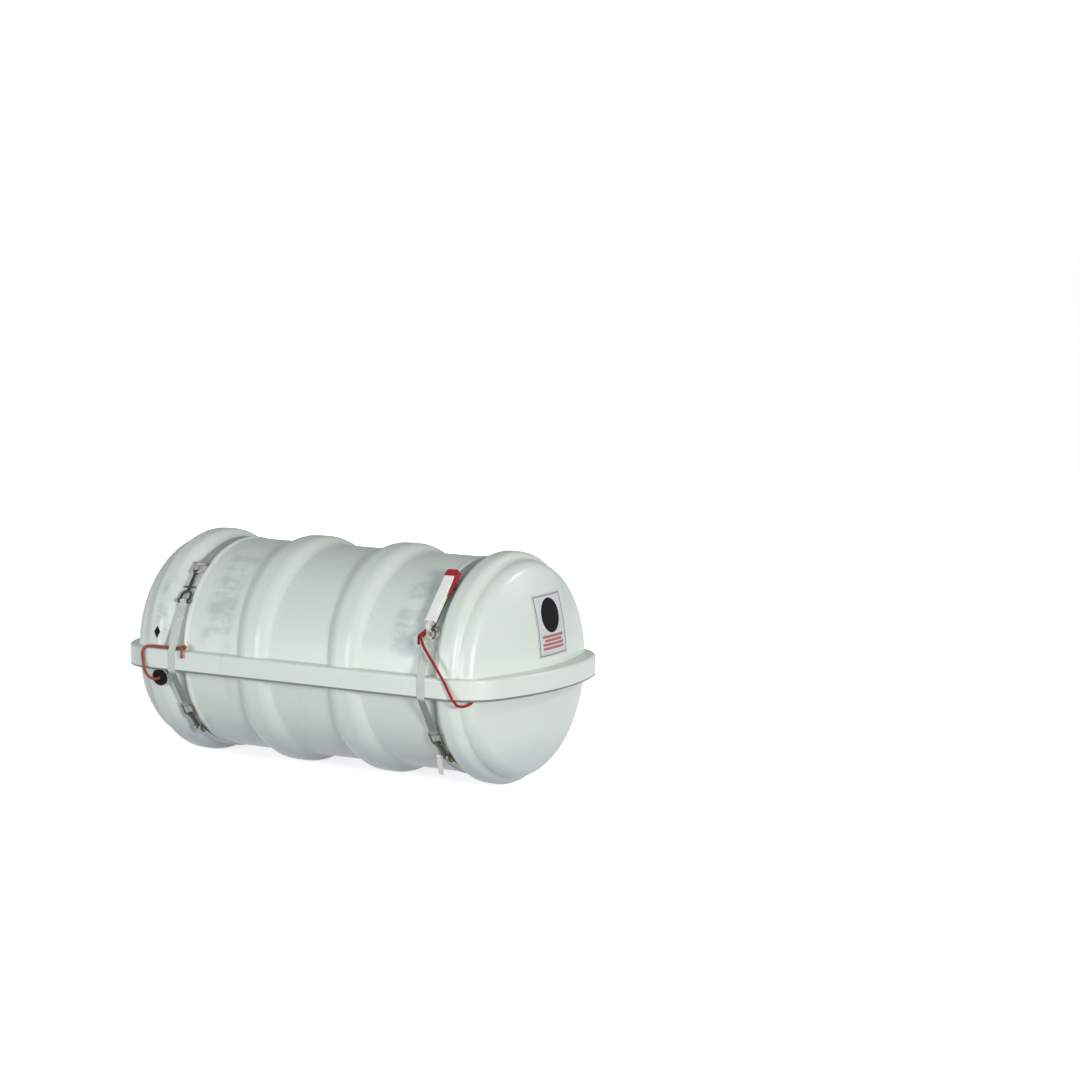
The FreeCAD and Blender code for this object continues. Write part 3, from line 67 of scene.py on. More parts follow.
# ------------------------------------------------------------------ materials
class Shader:
    """A principled material with helpers that add nodes one at a time."""

    def __init__(self, name, rough=0.5, metal=0.0, coat=0.0, sheen=0.0, spec=0.5):
        self.mat = bpy.data.materials.new(name)
        self.mat.use_nodes = True
        self.tree = self.mat.node_tree
        self.tree.nodes.clear()
        out = self.add("ShaderNodeOutputMaterial")
        self.bsdf = self.add("ShaderNodeBsdfPrincipled")
        self.tree.links.new(self.bsdf.outputs[0], out.inputs[0])
        self.bsdf.inputs["Roughness"].default_value = rough
        self.bsdf.inputs["Metallic"].default_value = metal
        self.bsdf.inputs["Coat Weight"].default_value = coat
        self.bsdf.inputs["Coat Roughness"].default_value = 0.2
        self.bsdf.inputs["Sheen Weight"].default_value = sheen
        self.bsdf.inputs["Specular IOR Level"].default_value = spec
        self.coord = self.add("ShaderNodeTexCoord").outputs["Object"]
        split = self.add("ShaderNodeSeparateXYZ")
        self.tree.links.new(self.coord, split.inputs[0])
        self.x, self.y, self.z = split.outputs

    def add(self, kind):
        return self.tree.nodes.new(kind)

    def put(self, value, socket):
        if isinstance(value, bpy.types.NodeSocket):
            self.tree.links.new(value, socket)
        elif isinstance(value, (tuple, list)) and len(value) == 3 and socket.type == "RGBA":
            socket.default_value = (*value, 1.0)
        else:
            socket.default_value = value

    def math(self, operation, a, b=0.0, c=0.0):
        node = self.add("ShaderNodeMath")
        node.operation = operation
        for value, socket in zip((a, b, c), node.inputs):
            self.put(value, socket)
        return node.outputs[0]

    def noise(self, scale, detail=3.0, rough=0.55, stretch=None, shift=0.0):
        node = self.add("ShaderNodeTexNoise")
        place = self.add("ShaderNodeMapping")
        place.inputs["Location"].default_value = (shift, shift, shift)
        place.inputs["Scale"].default_value = stretch or (1, 1, 1)
        self.tree.links.new(self.coord, place.inputs[0])
        self.tree.links.new(place.outputs[0], node.inputs["Vector"])
        node.inputs["Scale"].default_value = scale
        node.inputs["Detail"].default_value = detail
        node.inputs["Roughness"].default_value = rough
        return node.outputs["Fac"]

    def band(self, value, low, high):
        """0 below low, 1 above high, smooth in between."""
        node = self.add("ShaderNodeMapRange")
        node.interpolation_type = "SMOOTHSTEP"
        self.put(value, node.inputs[0])
        node.inputs[1].default_value = low
        node.inputs[2].default_value = high
        return node.outputs[0]

    def mix(self, factor, a, b):
        node = self.add("ShaderNodeMix")
        node.data_type = "RGBA"
        self.put(factor, node.inputs[0])
        self.put(a, node.inputs[6])
        self.put(b, node.inputs[7])
        return node.outputs[2]

    def times(self, a, b):
        return self.math("MULTIPLY", a, b)

    def away(self, value, centre):
        """Distance of a coordinate from a centre."""
        return self.math("ABSOLUTE", self.math("SUBTRACT", value, centre))

    def stripe(self, value, centre, half):
        """1 within half of the centre."""
        return self.math("LESS_THAN", self.away(value, centre), half)

    def rect(self, u, v, cu, cv, hu, hv):
        """1 inside a rectangle of the coordinates u and v."""
        return self.times(self.stripe(u, cu, hu), self.stripe(v, cv, hv))

    def lay_colour(self, tone, mask, strength, colour):
        """The tone with a colour laid over it where the mask is, at most at the given strength; used
        for stains and print and for painted shade alike.
        """
        return self.mix(self.times(mask, strength), tone, colour)

    def colour(self, value):
        self.put(value, self.bsdf.inputs["Base Color"])

    def roughness(self, value, low, high):
        node = self.add("ShaderNodeMapRange")
        self.put(value, node.inputs[0])
        node.inputs[3].default_value = low
        node.inputs[4].default_value = high
        self.tree.links.new(node.outputs[0], self.bsdf.inputs["Roughness"])

    def bump(self, height, strength, distance):
        node = self.add("ShaderNodeBump")
        node.inputs["Strength"].default_value = strength
        node.inputs["Distance"].default_value = distance
        self.put(height, node.inputs["Height"])
        previous = self.bsdf.inputs["Normal"].links
        if previous:
            self.tree.links.new(previous[0].from_socket, node.inputs["Normal"])
        self.tree.links.new(node.outputs[0], self.bsdf.inputs["Normal"])


# Haze in the lettering's place: centre X, centre over the axis, half length, half height, in metres.
HAZE = ((-0.305, 0.165, 0.055, 0.125), (0.375, 0.165, 0.050, 0.11), (-0.50, 0.12, 0.03, 0.10))
GAP_SHADOW_DROP, GAP_SHADOW_HALF = 0.0452, 0.0032  # painted shadow with a little grime: a dark line in the gap under the rim band's lower edge


def gelcoat():
    """Weathered off-white gelcoat: streaks, specks, scuffs at the foot, painted bluish shade towards
    the bottom, haze, and a painted shadow line under the rim.
    """
    s = Shader("gelcoat", coat=0.35)
    tone = s.mix(s.noise(2.2, 4, 0.6), (0.64, 0.695, 0.635), (0.72, 0.765, 0.71))
    streak = s.band(s.noise(7, 5, 0.6, (1.6, 1, 0.16), 3.1), 0.56, 0.76)
    tone = s.lay_colour(tone, streak, 0.35, (0.55, 0.57, 0.535))
    speck = s.band(s.noise(95, 3, 0.7, None, 7.7), 0.68, 0.76)
    tone = s.lay_colour(tone, speck, 0.5, (0.42, 0.43, 0.40))
    # painted shade: the shell turns bluish grey towards the bottom; the same mask keeps the scuffs
    # to the foot
    low = s.math("SUBTRACT", 1.0, s.band(s.z, 0.02, 0.17))
    tone = s.lay_colour(tone, low, 0.52, (0.38, 0.45, 0.55))
    scuff = s.band(s.noise(24, 6, 0.75, (0.35, 1, 1), 11.3), 0.60, 0.70)
    tone = s.lay_colour(tone, s.times(scuff, low), 0.5, (0.38, 0.38, 0.36))
    rub = s.band(s.noise(16, 5, 0.7, (0.5, 1, 1), 15.2), 0.40, 0.62)
    front = s.band(s.y, -0.05, -0.12)
    for centre_x, rise, half_x, half_z in HAZE:
        near = s.times(s.band(s.away(s.x, centre_x), half_x + 0.02, half_x - 0.02),
                       s.band(s.away(s.z, AXIS + rise), half_z + 0.03, half_z - 0.03))
        tone = s.lay_colour(tone, s.times(s.times(near, front), rub), 0.60, (0.41, 0.445, 0.48))
    # painted shadow with a little grime: a dark line where the gap under the rim band's lip lies in
    # shade
    tone = s.lay_colour(tone, s.stripe(s.z, AXIS - GAP_SHADOW_DROP, GAP_SHADOW_HALF), 0.85, (0.06, 0.062, 0.05))
    s.colour(tone)
    s.roughness(s.noise(14, 4, 0.6, None, 5.0), 0.30, 0.50)
    s.bump(s.noise(5.5, 2, 0.5, None, 2.0), 0.35, 0.004)
    s.bump(s.noise(240, 2, 0.5), 0.12, 0.0006)
    return s.mat


def rubber():
    """Dull black rubber."""
    s = Shader("black_rubber", rough=0.75, spec=0.07)
    s.colour(s.mix(s.noise(60, 3), (0.008, 0.008, 0.008), (0.020, 0.019, 0.018)))
    s.bump(s.noise(320, 2), 0.25, 0.0005)
    return s.mat


def steel(name, dark, light, rust=0.0, rough=(0.34, 0.55), metal=0.9, grain=(1, 1, 1)):
    """Brushed or dulled metal, with rust spots where asked."""
    s = Shader(name, metal=metal)
    tone = s.mix(s.noise(26, 5, 0.65), dark, light)
    if rust:
        spots = s.band(s.noise(55, 5, 0.7, None, 4.2), 0.52, 0.66)
        tone = s.lay_colour(tone, spots, rust, (0.17, 0.085, 0.035))
    s.colour(tone)
    s.roughness(s.noise(140, 3, 0.6, grain, 1.3), *rough)
    s.bump(s.noise(420, 3, 0.6, grain), 0.2, 0.0004)
    return s.mat


def webbing(name, light, dark, shade_below_rim=None, pitch=0.0016):
    """Woven strap: ribs across X, picks along its run, a darker colour in the weave's dips, and
    painted shade below the rim where asked.
    """
    s = Shader(name, rough=0.85, sheen=0.25, spec=0.2)
    across = s.math("SINE", s.times(s.x, 2 * math.pi / pitch))
    run = s.math("ADD", s.z, s.times(s.y, -0.6))
    along = s.math("SINE", s.times(run, 2 * math.pi / (1.4 * pitch)))
    weave = s.times(across, along)
    tone = s.mix(s.noise(45, 4, 0.65), dark, light)
    if shade_below_rim:
        # painted shade: below the rim band the strap is coloured darker, as if in shadow
        under = s.math("SUBTRACT", 1.0, s.band(s.z, AXIS - 0.060, AXIS - 0.045))
        tone = s.mix(under, tone, shade_below_rim)
    tone = s.lay_colour(tone, s.band(weave, 0.2, -0.9), 0.30, (0.30, 0.29, 0.26))
    s.colour(tone)
    s.bump(weave, 0.55, 0.0005)
    return s.mat


def braid(name, light, dark):
    """Braided cord, with grime in patches."""
    s = Shader(name, rough=0.8, sheen=0.05, spec=0.12)
    tone = s.mix(s.noise(300, 3, 0.6), dark, light)
    s.colour(s.lay_colour(tone, s.band(s.noise(30, 4), 0.5, 0.7), 0.35, (0.22, 0.10, 0.08)))
    s.bump(s.noise(900, 2), 0.4, 0.0004)
    return s.mat


def cloth(name, light, dark):
    """Coated fabric with a fine weave and soft creases."""
    s = Shader(name, rough=0.7, sheen=0.2)
    s.colour(s.mix(s.noise(9, 4), dark, light))
    s.bump(s.noise(520, 2), 0.4, 0.0005)
    s.bump(s.noise(11, 3, 0.5), 0.5, 0.01)
    return s.mat


def paint(name, light, dark, worn, amount=0.45):
    """Paint with chips down to a worn colour."""
    s = Shader(name, coat=0.2)
    tone = s.mix(s.noise(18, 4), dark, light)
    chips = s.band(s.noise(85, 6, 0.75, None, 6.6), 0.62, 0.68)
    s.colour(s.lay_colour(tone, chips, amount, worn))
    s.roughness(s.noise(50, 3), 0.28, 0.45)
    s.bump(chips, 0.3, -0.0003)
    return s.mat


LABEL_BARS = ((-0.35, 0.72), (-0.475, 0.60), (-0.60, 0.72), (-0.725, 0.72))  # place and half width


def label_plate():
    """Pale film with a thin dark frame, a plain black disc and plain red bars."""
    s = Shader("label_plate", rough=0.55, spec=0.08)
    low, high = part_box("end_label")
    centre, half = (low + high) / 2, (high - low) / 2
    u = s.math("DIVIDE", s.math("SUBTRACT", s.y, centre.y), half.y)
    v = s.math("DIVIDE", s.math("SUBTRACT", s.z, centre.z), half.z)
    tone = s.mix(s.noise(30, 4), (0.56, 0.58, 0.58), (0.64, 0.66, 0.66))
    edge = s.math("SUBTRACT", s.rect(u, v, 0, 0, 0.95, 0.955), s.rect(u, v, 0, 0, 0.90, 0.915))
    tone = s.lay_colour(tone, edge, 0.75, (0.10, 0.12, 0.13))
    across = s.times(u, half.y)
    up = s.times(s.math("SUBTRACT", v, 0.30), half.z)
    reach = s.math("SQRT", s.math("ADD", s.times(across, across), s.times(up, up)))
    tone = s.mix(s.math("LESS_THAN", reach, 0.050), tone, (0.006, 0.006, 0.007))
    for place, half_width in LABEL_BARS:
        bar = s.rect(u, v, 0.0, place, half_width, 0.042)
        tone = s.lay_colour(tone, bar, 0.80, (0.42, 0.035, 0.045))
    s.colour(tone)
    s.bump(s.noise(160, 3), 0.1, 0.0004)
    return s.mat


def lever_paint():
    """The lever's white skin, chipped down to dark primer."""
    s = Shader("lever_white", coat=0.25, rough=0.4)
    tone = s.mix(s.noise(30, 4), (0.80, 0.80, 0.76), (0.90, 0.90, 0.86))
    chips = s.band(s.noise(110, 6, 0.75), 0.61, 0.67)
    s.colour(s.lay_colour(tone, chips, 0.5, (0.25, 0.23, 0.20)))
    s.bump(chips, 0.3, -0.0003)
    return s.mat


MATERIALS = {
    "gelcoat": gelcoat(),
    "black_rubber": rubber(),
    "band_steel": steel("band_steel", (0.36, 0.38, 0.34), (0.52, 0.54, 0.49), 0.12,
                        (0.45, 0.65), 0.45, (1, 0.15, 0.15)),
    # the grey webbing's third colour is painted shade for the strap below the rim band
    "grey_webbing": webbing("grey_webbing", (0.70, 0.73, 0.67),
                            (0.62, 0.65, 0.59), (0.29, 0.32, 0.29)),
    "dark_steel": steel("dark_steel", (0.022, 0.021, 0.017),
                        (0.13, 0.13, 0.10), 0.35, (0.45, 0.65), 0.35),
    "pin_steel": steel("pin_steel", (0.16, 0.16, 0.15), (0.32, 0.32, 0.30), 0.25),
    "old_brass": steel("old_brass", (0.045, 0.042, 0.022),
                       (0.20, 0.175, 0.095), 0.35, (0.45, 0.65), 0.55),
    "lever_white": lever_paint(),
    "white_paint": paint("white_paint", (0.72, 0.72, 0.68),
                         (0.62, 0.62, 0.58), (0.20, 0.17, 0.13), 0.6),
    "red_grip": paint("red_grip", (0.40, 0.010, 0.018),
                      (0.26, 0.008, 0.012), (0.08, 0.02, 0.02), 0.4),
    "white_webbing": webbing("white_webbing", (0.88, 0.88, 0.85), (0.78, 0.78, 0.74)),
    "red_cord": braid("red_cord", (0.44, 0.028, 0.022), (0.27, 0.016, 0.014)),
    "label_plate": label_plate(),
    "raft_fabric": cloth("raft_fabric", (0.82, 0.20, 0.03), (0.68, 0.13, 0.02)),
    "lashing_web": webbing("lashing_web", (0.10, 0.10, 0.11), (0.05, 0.05, 0.055)),
    "cylinder_paint": paint("cylinder_paint", (0.25, 0.27, 0.28),
                            (0.18, 0.20, 0.21), (0.42, 0.42, 0.40)),
    "head_brass": steel("head_brass", (0.42, 0.31, 0.13),
                        (0.62, 0.49, 0.24), 0.1, (0.25, 0.4), 1.0),
    "bag_fabric": cloth("bag_fabric", (0.75, 0.60, 0.10), (0.62, 0.48, 0.07)),
    "coiled_rope": braid("coiled_rope", (0.66, 0.63, 0.54), (0.50, 0.47, 0.39)),
}
FADED_CORD = braid("faded_cord", (0.40, 0.105, 0.085), (0.26, 0.055, 0.045))
slots = {part["node"]: part["material_slot"] for part in record["subparts"]}
WORN = {"yoke": steel("worn_zinc", (0.16, 0.16, 0.14), (0.62, 0.63, 0.58), 0.30,
                      (0.42, 0.62), 0.35)}  # nodes that look unlike the rest of their slot
for name, node in nodes.items():
    node.data.materials.clear()
    node.data.materials.append(WORN.get(name, MATERIALS[slots[name]]))


# ------------------------------------------------------------------ mesh helpers
STRANDS = 8
CORD_SIDES, KNOT_SIDES, KNOT_STEPS = 16, 14, 96
CORD_STEP = 0.0009  # metres between the rings of a cord


def mesh_piece(name, verts, faces, slot):
    """A smooth-shaded piece of the canister's body, from plain vertices and faces."""
    mesh = bpy.data.meshes.new(name)
    mesh.from_pydata([tuple(v) for v in verts], [], faces)
    mesh.update()
    piece = bpy.data.objects.new(name, mesh)
    bpy.context.scene.collection.objects.link(piece)
    mesh.materials.append(MATERIALS[slot])
    for face in mesh.polygons:
        face.use_smooth = True
    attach(piece, BODY)
    return piece


def evaluated_mesh(thing):
    """A new mesh of the object as its curve or modifiers shape it."""
    return bpy.data.meshes.new_from_object(
        thing.evaluated_get(bpy.context.evaluated_depsgraph_get()))


def copy_of(name, node):
    """A new object with a copy of the node's own mesh."""
    piece = bpy.data.objects.new(name, nodes[node].data.copy())
    bpy.context.scene.collection.objects.link(piece)
    return piece


def stand_in(piece, node, slot, body):
    """Give the piece its material and body, in place of the node."""
    piece.data.materials.clear()
    piece.data.materials.append(MATERIALS[slot])
    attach(piece, body)
    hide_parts(node)
    return piece


def nurbs_line(points):
    """Points along a smooth NURBS curve through the given control points."""
    data = bpy.data.curves.new("route", "CURVE")
    data.dimensions = "3D"
    data.resolution_u = 24
    spline = data.splines.new("NURBS")
    spline.points.add(len(points) - 1)
    for control, point in zip(spline.points, points):
        control.co = (*point, 1.0)
    spline.order_u = 3
    spline.use_endpoint_u = True
    curve = bpy.data.objects.new("route", data)
    bpy.context.scene.collection.objects.link(curve)
    bpy.context.view_layer.update()
    mesh = evaluated_mesh(curve)
    line = [v.co.copy() for v in mesh.vertices]
    bpy.data.objects.remove(curve)
    bpy.data.curves.remove(data)
    bpy.data.meshes.remove(mesh)
    return line


def spaced(line, step):
    """The same line at even steps."""
    out, left = [line[0]], step
    for a, b in zip(line, line[1:]):
        run = (b - a).length
        while run > left:
            a = a + (b - a).normalized() * left
            out.append(a)
            run, left = (b - a).length, step
        left -= run
    out.append(line[-1])
    return out


def frames_along(line):
    """Tangent, side and up at each point, carried along without twist."""
    out, side = [], None
    for i, point in enumerate(line):
        tangent = (line[min(i + 1, len(line) - 1)] - line[max(i - 1, 0)]).normalized()
        if side is None:
            side = tangent.cross(Vector((0.3, 0.2, 1.0))).normalized()
        side = (side - tangent * side.dot(tangent)).normalized()
        out.append((tangent, side, tangent.cross(side)))
    return out


def tube(name, line, radius, slot, sides, relief, closed=False):
    """A tube along a line, open-ended lines with caps; relief(turn, distance) scales its radius."""
    verts, faces, distance = [], [], 0.0
    for i, (point, (_, side, up)) in enumerate(zip(line, frames_along(line))):
        if i:
            distance += (point - line[i - 1]).length
        for k in range(sides):
            turn = 2 * math.pi * k / sides
            reach = radius * relief(turn, distance)
            verts.append(point + (side * math.cos(turn) + up * math.sin(turn)) * reach)
    count = len(line)
    for i in range(count - (0 if closed else 1)):
        for k in range(sides):
            here, there, after = i * sides, ((i + 1) % count) * sides, (k + 1) % sides
            faces.append((here + k, here + after, there + after, there + k))
    if not closed:
        faces.append(tuple(range(sides - 1, -1, -1)))
        faces.append(tuple(range((count - 1) * sides, count * sides)))
    return mesh_piece(name, verts, faces, slot)


def braided(pitch, depth=0.10):
    """Relief of a round braid of eight strands."""
    half = STRANDS / 2

    def relief(turn, distance):
        twist = 2 * math.pi * distance / pitch
        bumps = abs(math.sin(half * turn + twist)) * abs(math.sin(half * turn - twist))
        return 1.0 - depth + depth * bumps ** 0.5
    return relief


# ------------------------------------------------------------------ cords
def in_metres(points):
    """Points in millimetres, with Z from the drum's axis, as vectors in metres."""
    return [Vector((x / 1000, y / 1000, AXIS + z / 1000)) for x, y, z in points]


PAINTER = in_metres([
    (-478, -150.6, -71), (-479, -174, -69), (-487, -209, -56), (-497, -249, -55.4),
    (-500, -292, -64.7), (-500, -331.9, -73.6), (-500, -352, -78), (-511, -365, -73),
    (-526, -369, -59), (-538, -363, -41),
    (-545, -357, -20), (-547, -359, 1), (-541, -352, 19), (-524, -340, 20.6), (-500, -338.4, 19.8),
    (-470, -337.6, 20.2), (-440, -338.6, 20.0), (-424, -338, 20.9), (-412, -337.6, 23.3),
])
LANYARD = in_metres([
    (441.1, -309.8, 134.1), (441.5, -318.3, 137.3), (446, -330, 128), (455, -338, 113),
    (469, -345, 97),
    (488, -351, 78), (508, -355.5, 56), (528, -357.5, 31), (547, -357.4, 3), (562, -357.4, -23),
    (575, -357.2, -45), (584, -350.5, -57), (593, -338.5, -60.5), (603, -323, -58),
    (610, -309, -48.5),
    (612, -301.5, -34), (612, -300.2, -16.3),
])
FIRING = in_metres([
    (-478, 0, 80.2), (-478.3, -1, 98), (-482, -7, 121), (-485.8, -1.5, 145), (-486.1, 0, 162.6),
])


def length_of(line):
    return sum((b - a).length for a, b in zip(line, line[1:]))


def overhand(name, centre, direction, radius, strand, slot):
    """A small overhand knot: one strand wound through itself."""
    axis = direction.normalized()
    side = axis.cross(Vector((0.2, 0.1, 1.0))).normalized()
    up = axis.cross(side)
    reach = radius - strand
    line = []
    for i in range(KNOT_STEPS):
        t = 2 * math.pi * i / KNOT_STEPS
        r = (0.62 + 0.38 * math.cos(3 * t))
        line.append(centre + side * reach * r * math.cos(2 * t) + up * reach * r * math.sin(2 * t)
                    + axis * reach * 0.8 * math.sin(3 * t))
    return tube(name, line, strand, slot, KNOT_SIDES, braided(0.006, 0.08), closed=True)


def cord_piece(name, node, route, diameter, slot, pitch):
    """The cord in place of its node, along its route in a braid of the given pitch."""
    line = spaced(nurbs_line(route), CORD_STEP)
    piece = tube(name, line, diameter / 2, slot, CORD_SIDES, braided(pitch))
    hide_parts(node)
    return piece


def knot_at(name, node, route_end, before):
    """A knot in the space of the node's ball, wound round the cord's direction at its end."""
    low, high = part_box(node)
    centre, radius = (low + high) / 2, (high - low).x / 2
    piece = overhand(name, centre, route_end - before, radius, radius * 0.42, "red_cord")
    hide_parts(node)
    return piece


FRAY_START = 0.72  # share of a tail's length that isn't frayed


def knot_tail(name, points, radius):
    """The short end that hangs out of a knot, with its cut end frayed wider."""
    line = spaced(nurbs_line(in_metres(points)), CORD_STEP)
    total = length_of(line)

    def relief(turn, distance):
        fray = max(0.0, distance / total - FRAY_START) / 0.28
        return 1.0 + 0.25 * fray + 0.10 * math.sin(5 * turn) * (0.3 + fray)
    return tube(name, line, radius, "red_cord", CORD_SIDES, relief)


painter_tie = knot_at("painter_tie", "painter_knot", PAINTER[-1], PAINTER[-2])
painter_tail = knot_tail("painter_tail", [
    (-404, -345, 27), (-400, -352, 28.5), (-396, -359, 21), (-395, -360.5, 8), (-396.5, -360, -4),
], 0.0036)
lanyard_tie = knot_at("lanyard_tie", "lanyard_knot", LANYARD[0], LANYARD[1])
lanyard_tail = knot_tail("lanyard_tail", [
    (440, -316, 133), (436, -322, 131), (433.5, -324, 119), (434.5, -323, 103),
], 0.0034)
painter = cord_piece("painter", "painter_line", PAINTER, 0.009, "red_cord", 0.011)
for piece in (painter, painter_tie, painter_tail):
    piece.data.materials[0] = FADED_CORD
cord_piece("lanyard_cord", "lanyard", LANYARD, 0.008, "red_cord", 0.010)
cord_piece("firing_cord", "firing_line", FIRING, 0.006, "coiled_rope", 0.008)


# ------------------------------------------------------------------ straps
STRAP_CUTS = (0.06, 0.14, 0.3, 0.5, 0.7, 0.86, 0.94)  # shares of the width
FIRST_CUT, CUT_STEP = 0.004, 0.005  # up the strap
UNEVEN = 0.00022  # height of the selvedges and of the sway
SEAM_WIDTH, STITCH, STITCH_GAP = 0.019, 0.0026, 0.0014
THREAD_WIDE, THREAD_HIGH, THREAD_SUNK = 0.00042, 0.00036, 0.00012
THREAD_SIDES = 6


def woven(name, node, slot, rng):
    """The strap's own solid, cut finer, with thick selvedges and a slightly uneven lie."""
    piece = copy_of(name, node)
    low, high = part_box(node)
    bm = bmesh.new()
    bm.from_mesh(piece.data)
    bmesh.ops.remove_doubles(bm, verts=bm.verts, dist=1e-6)
    width = high.x - low.x

    def slice_at(place, across):
        bmesh.ops.bisect_plane(bm, geom=bm.verts[:] + bm.edges[:] + bm.faces[:],
                               plane_co=place, plane_no=across)

    for share in STRAP_CUTS:
        slice_at((low.x + share * width, 0, 0), (1, 0, 0))
    cut = low.z + FIRST_CUT
    while cut < high.z:
        slice_at((0, 0, cut), (0, 0, 1))
        cut += CUT_STEP
    bm.normal_update()
    phase = rng.uniform(0, 6)
    moves = []
    for v in bm.verts:
        share = (v.co.x - low.x) / width
        if abs(v.normal.x) > 0.2 or v.normal.y > 0:
            continue
        edge = UNEVEN if share < 0.1 or share > 0.9 else 0.0
        sway = UNEVEN * math.sin(95 * v.co.z + phase) * math.sin(math.pi * share)
        moves.append((v, v.normal * (edge + sway)))
    for v, move in moves:
        v.co += move
    bm.to_mesh(piece.data)
    bm.free()
    return stand_in(piece, node, slot, BODY)


def tree_of(piece):
    """A search tree of the piece's faces, for casting rays at them."""
    return BVHTree.FromPolygons([v.co.copy() for v in piece.data.vertices],
                                [f.vertices[:] for f in piece.data.polygons])


def sewn(name, strap, spots, slot):
    """Rows of stitches sunk into a strap's outer face: a box with a cross, between two heights."""
    tree = tree_of(strap)
    low = Vector([min(v.co[i] for v in strap.data.vertices) for i in range(3)])
    high = Vector([max(v.co[i] for v in strap.data.vertices) for i in range(3)])
    middle = (low.x + high.x) / 2
    verts, faces = [], []

    def seam(ax, az, bx, bz):
        length = math.hypot(bx - ax, bz - az)
        pitch = STITCH + STITCH_GAP
        for i in range(int(length / pitch)):
            t0 = (i * pitch + STITCH_GAP / 2) / length
            t1 = t0 + STITCH / length
            ends = []
            for t in (t0, t1):
                x, z = ax + (bx - ax) * t, az + (bz - az) * t
                hit = tree.ray_cast(Vector((middle + x, -0.6, z)), Vector((0, 1, 0)))[0]
                if hit is None:
                    return
                ends.append(hit - Vector((0, THREAD_SUNK, 0)))
            step = (ends[1] - ends[0]).normalized()
            side = step.cross(Vector((0, -1, 0))).normalized() * THREAD_WIDE
            out = side.cross(step).normalized() * THREAD_HIGH
            base, n = len(verts), THREAD_SIDES
            for end in ends:
                for k in range(n):
                    turn = math.pi * k / 3
                    verts.append(end + side * math.cos(turn) + out * math.sin(turn))
            for k in range(n):
                faces.append((base + k, base + (k + 1) % n, base + n + (k + 1) % n, base + n + k))
            faces.append(tuple(base + k for k in range(n - 1, -1, -1)))
            faces.append(tuple(base + n + k for k in range(n)))

    half = SEAM_WIDTH / 2
    for bottom, top in spots:
        seam(-half, bottom, -half, top)
        seam(half, bottom, half, top)
        seam(-half, bottom, half, bottom)
        seam(-half, top, half, top)
        seam(-half, bottom, half, top)
        seam(-half, top, half, bottom)
    return mesh_piece(name, verts, faces, slot)


rng = random.Random(7)
strap_left = woven("strap_left", "rim_strap_left", "grey_webbing", rng)
strap_right = woven("strap_right", "rim_strap_right", "grey_webbing", rng)
woven("tail_webbing", "band_tail", "white_webbing", rng)
for side, strap in (("left", strap_left), ("right", strap_right)):
    lower, upper = (corner.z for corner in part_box("rim_strap_" + side))
    spots = [(upper - 0.052, upper - 0.022), (lower + 0.020, lower + 0.048)]
    sewn("stitches_" + side, strap, spots, "lashing_web")


# ------------------------------------------------------------------ lever's dipped end
def softened(name, node, body, slot, voxel, rounds):
    """The node's own solid, remeshed and smoothed until its edges turn as a dipped skin's."""
    piece = copy_of(name, node)
    remesh = piece.modifiers.new("remesh", "REMESH")
    remesh.mode = "VOXEL"
    remesh.voxel_size = voxel
    smooth = piece.modifiers.new("smooth", "SMOOTH")
    smooth.factor = 0.5
    smooth.iterations = rounds
    bpy.context.view_layer.update()
    mesh = evaluated_mesh(piece)
    piece.modifiers.clear()
    piece.data = mesh
    for face in mesh.polygons:
        face.use_smooth = True
    return stand_in(piece, node, slot, body)


def dipped_grip():
    """The lever's dipped end: a half-round cap whose skirt narrows down the lever's right edge."""
    grip = softened("grip_skin", "lever_grip", "slip_lever", "red_grip", 0.0009, 14)
    hinge = next(Vector(joint["pos_m"]) for joint in record["behaviour"]["joints"]
                 if joint["name"] == "slip_lever_swing")
    low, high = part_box("lever_grip")
    along = (low + high) / 2 - hinge
    along.x = 0
    along.normalize()
    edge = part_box("lever_cover")[1].x
    reaches = [(v.co - hinge).dot(along) for v in grip.data.vertices]
    top, foot = max(reaches), min(reaches)
    cap, middle = 0.026, (low.x + edge) / 2 + 0.002
    for v, reach in zip(grip.data.vertices, reaches):
        down = (top - reach) / (top - foot)
        if v.co.x > edge:
            v.co.x = edge + (v.co.x - edge) * (1.0 - 0.55 * down)
        if top - reach < cap:
            turn = 1.0 - (top - reach) / cap
            v.co.x = middle + (v.co.x - middle) * (0.42 + 0.58 * math.sqrt(1.0 - turn * turn))


dipped_grip()


# ------------------------------------------------------------------ marks on the shell
shell_tree = tree_of(nodes["upper_shell"])


def on_shell(x, angle, lift):
    """The upper shell's outer surface at X, at an angle above the mid-plane on the front."""
    lean = math.radians(angle)
    out = Vector((0, -math.cos(lean), math.sin(lean)))
    hit = shell_tree.ray_cast(Vector((x, 0, AXIS)) + out * 0.6, -out)[0]
    return hit + out * lift


def plain_mark(name, x, angle, outline, slot, lift=0.0002):
    """A thin mark of one colour laid on the shell; its outline is metres along, degrees round."""
    centre = on_shell(x, angle, lift)
    verts, rings = [centre], 5
    for ring in range(1, rings + 1):
        for dx, da in outline:
            verts.append(on_shell(x + dx * ring / rings, angle + da * ring / rings, lift))
    count = len(outline)
    faces = [(0, 1 + k, 1 + (k + 1) % count) for k in range(count)]
    for ring in range(rings - 1):
        for k in range(count):
            a, b = 1 + ring * count + k, 1 + ring * count + (k + 1) % count
            faces.append((a, b, b + count, a + count))
    mesh_piece(name, verts, faces, slot)


def refined(corners, parts=6):
    """The outline with each side cut into equal parts."""
    out = []
    for (ax, ay), (bx, by) in zip(corners, corners[1:] + corners[:1]):
        out += [(ax + (bx - ax) * i / parts, ay + (by - ay) * i / parts) for i in range(parts)]
    return out


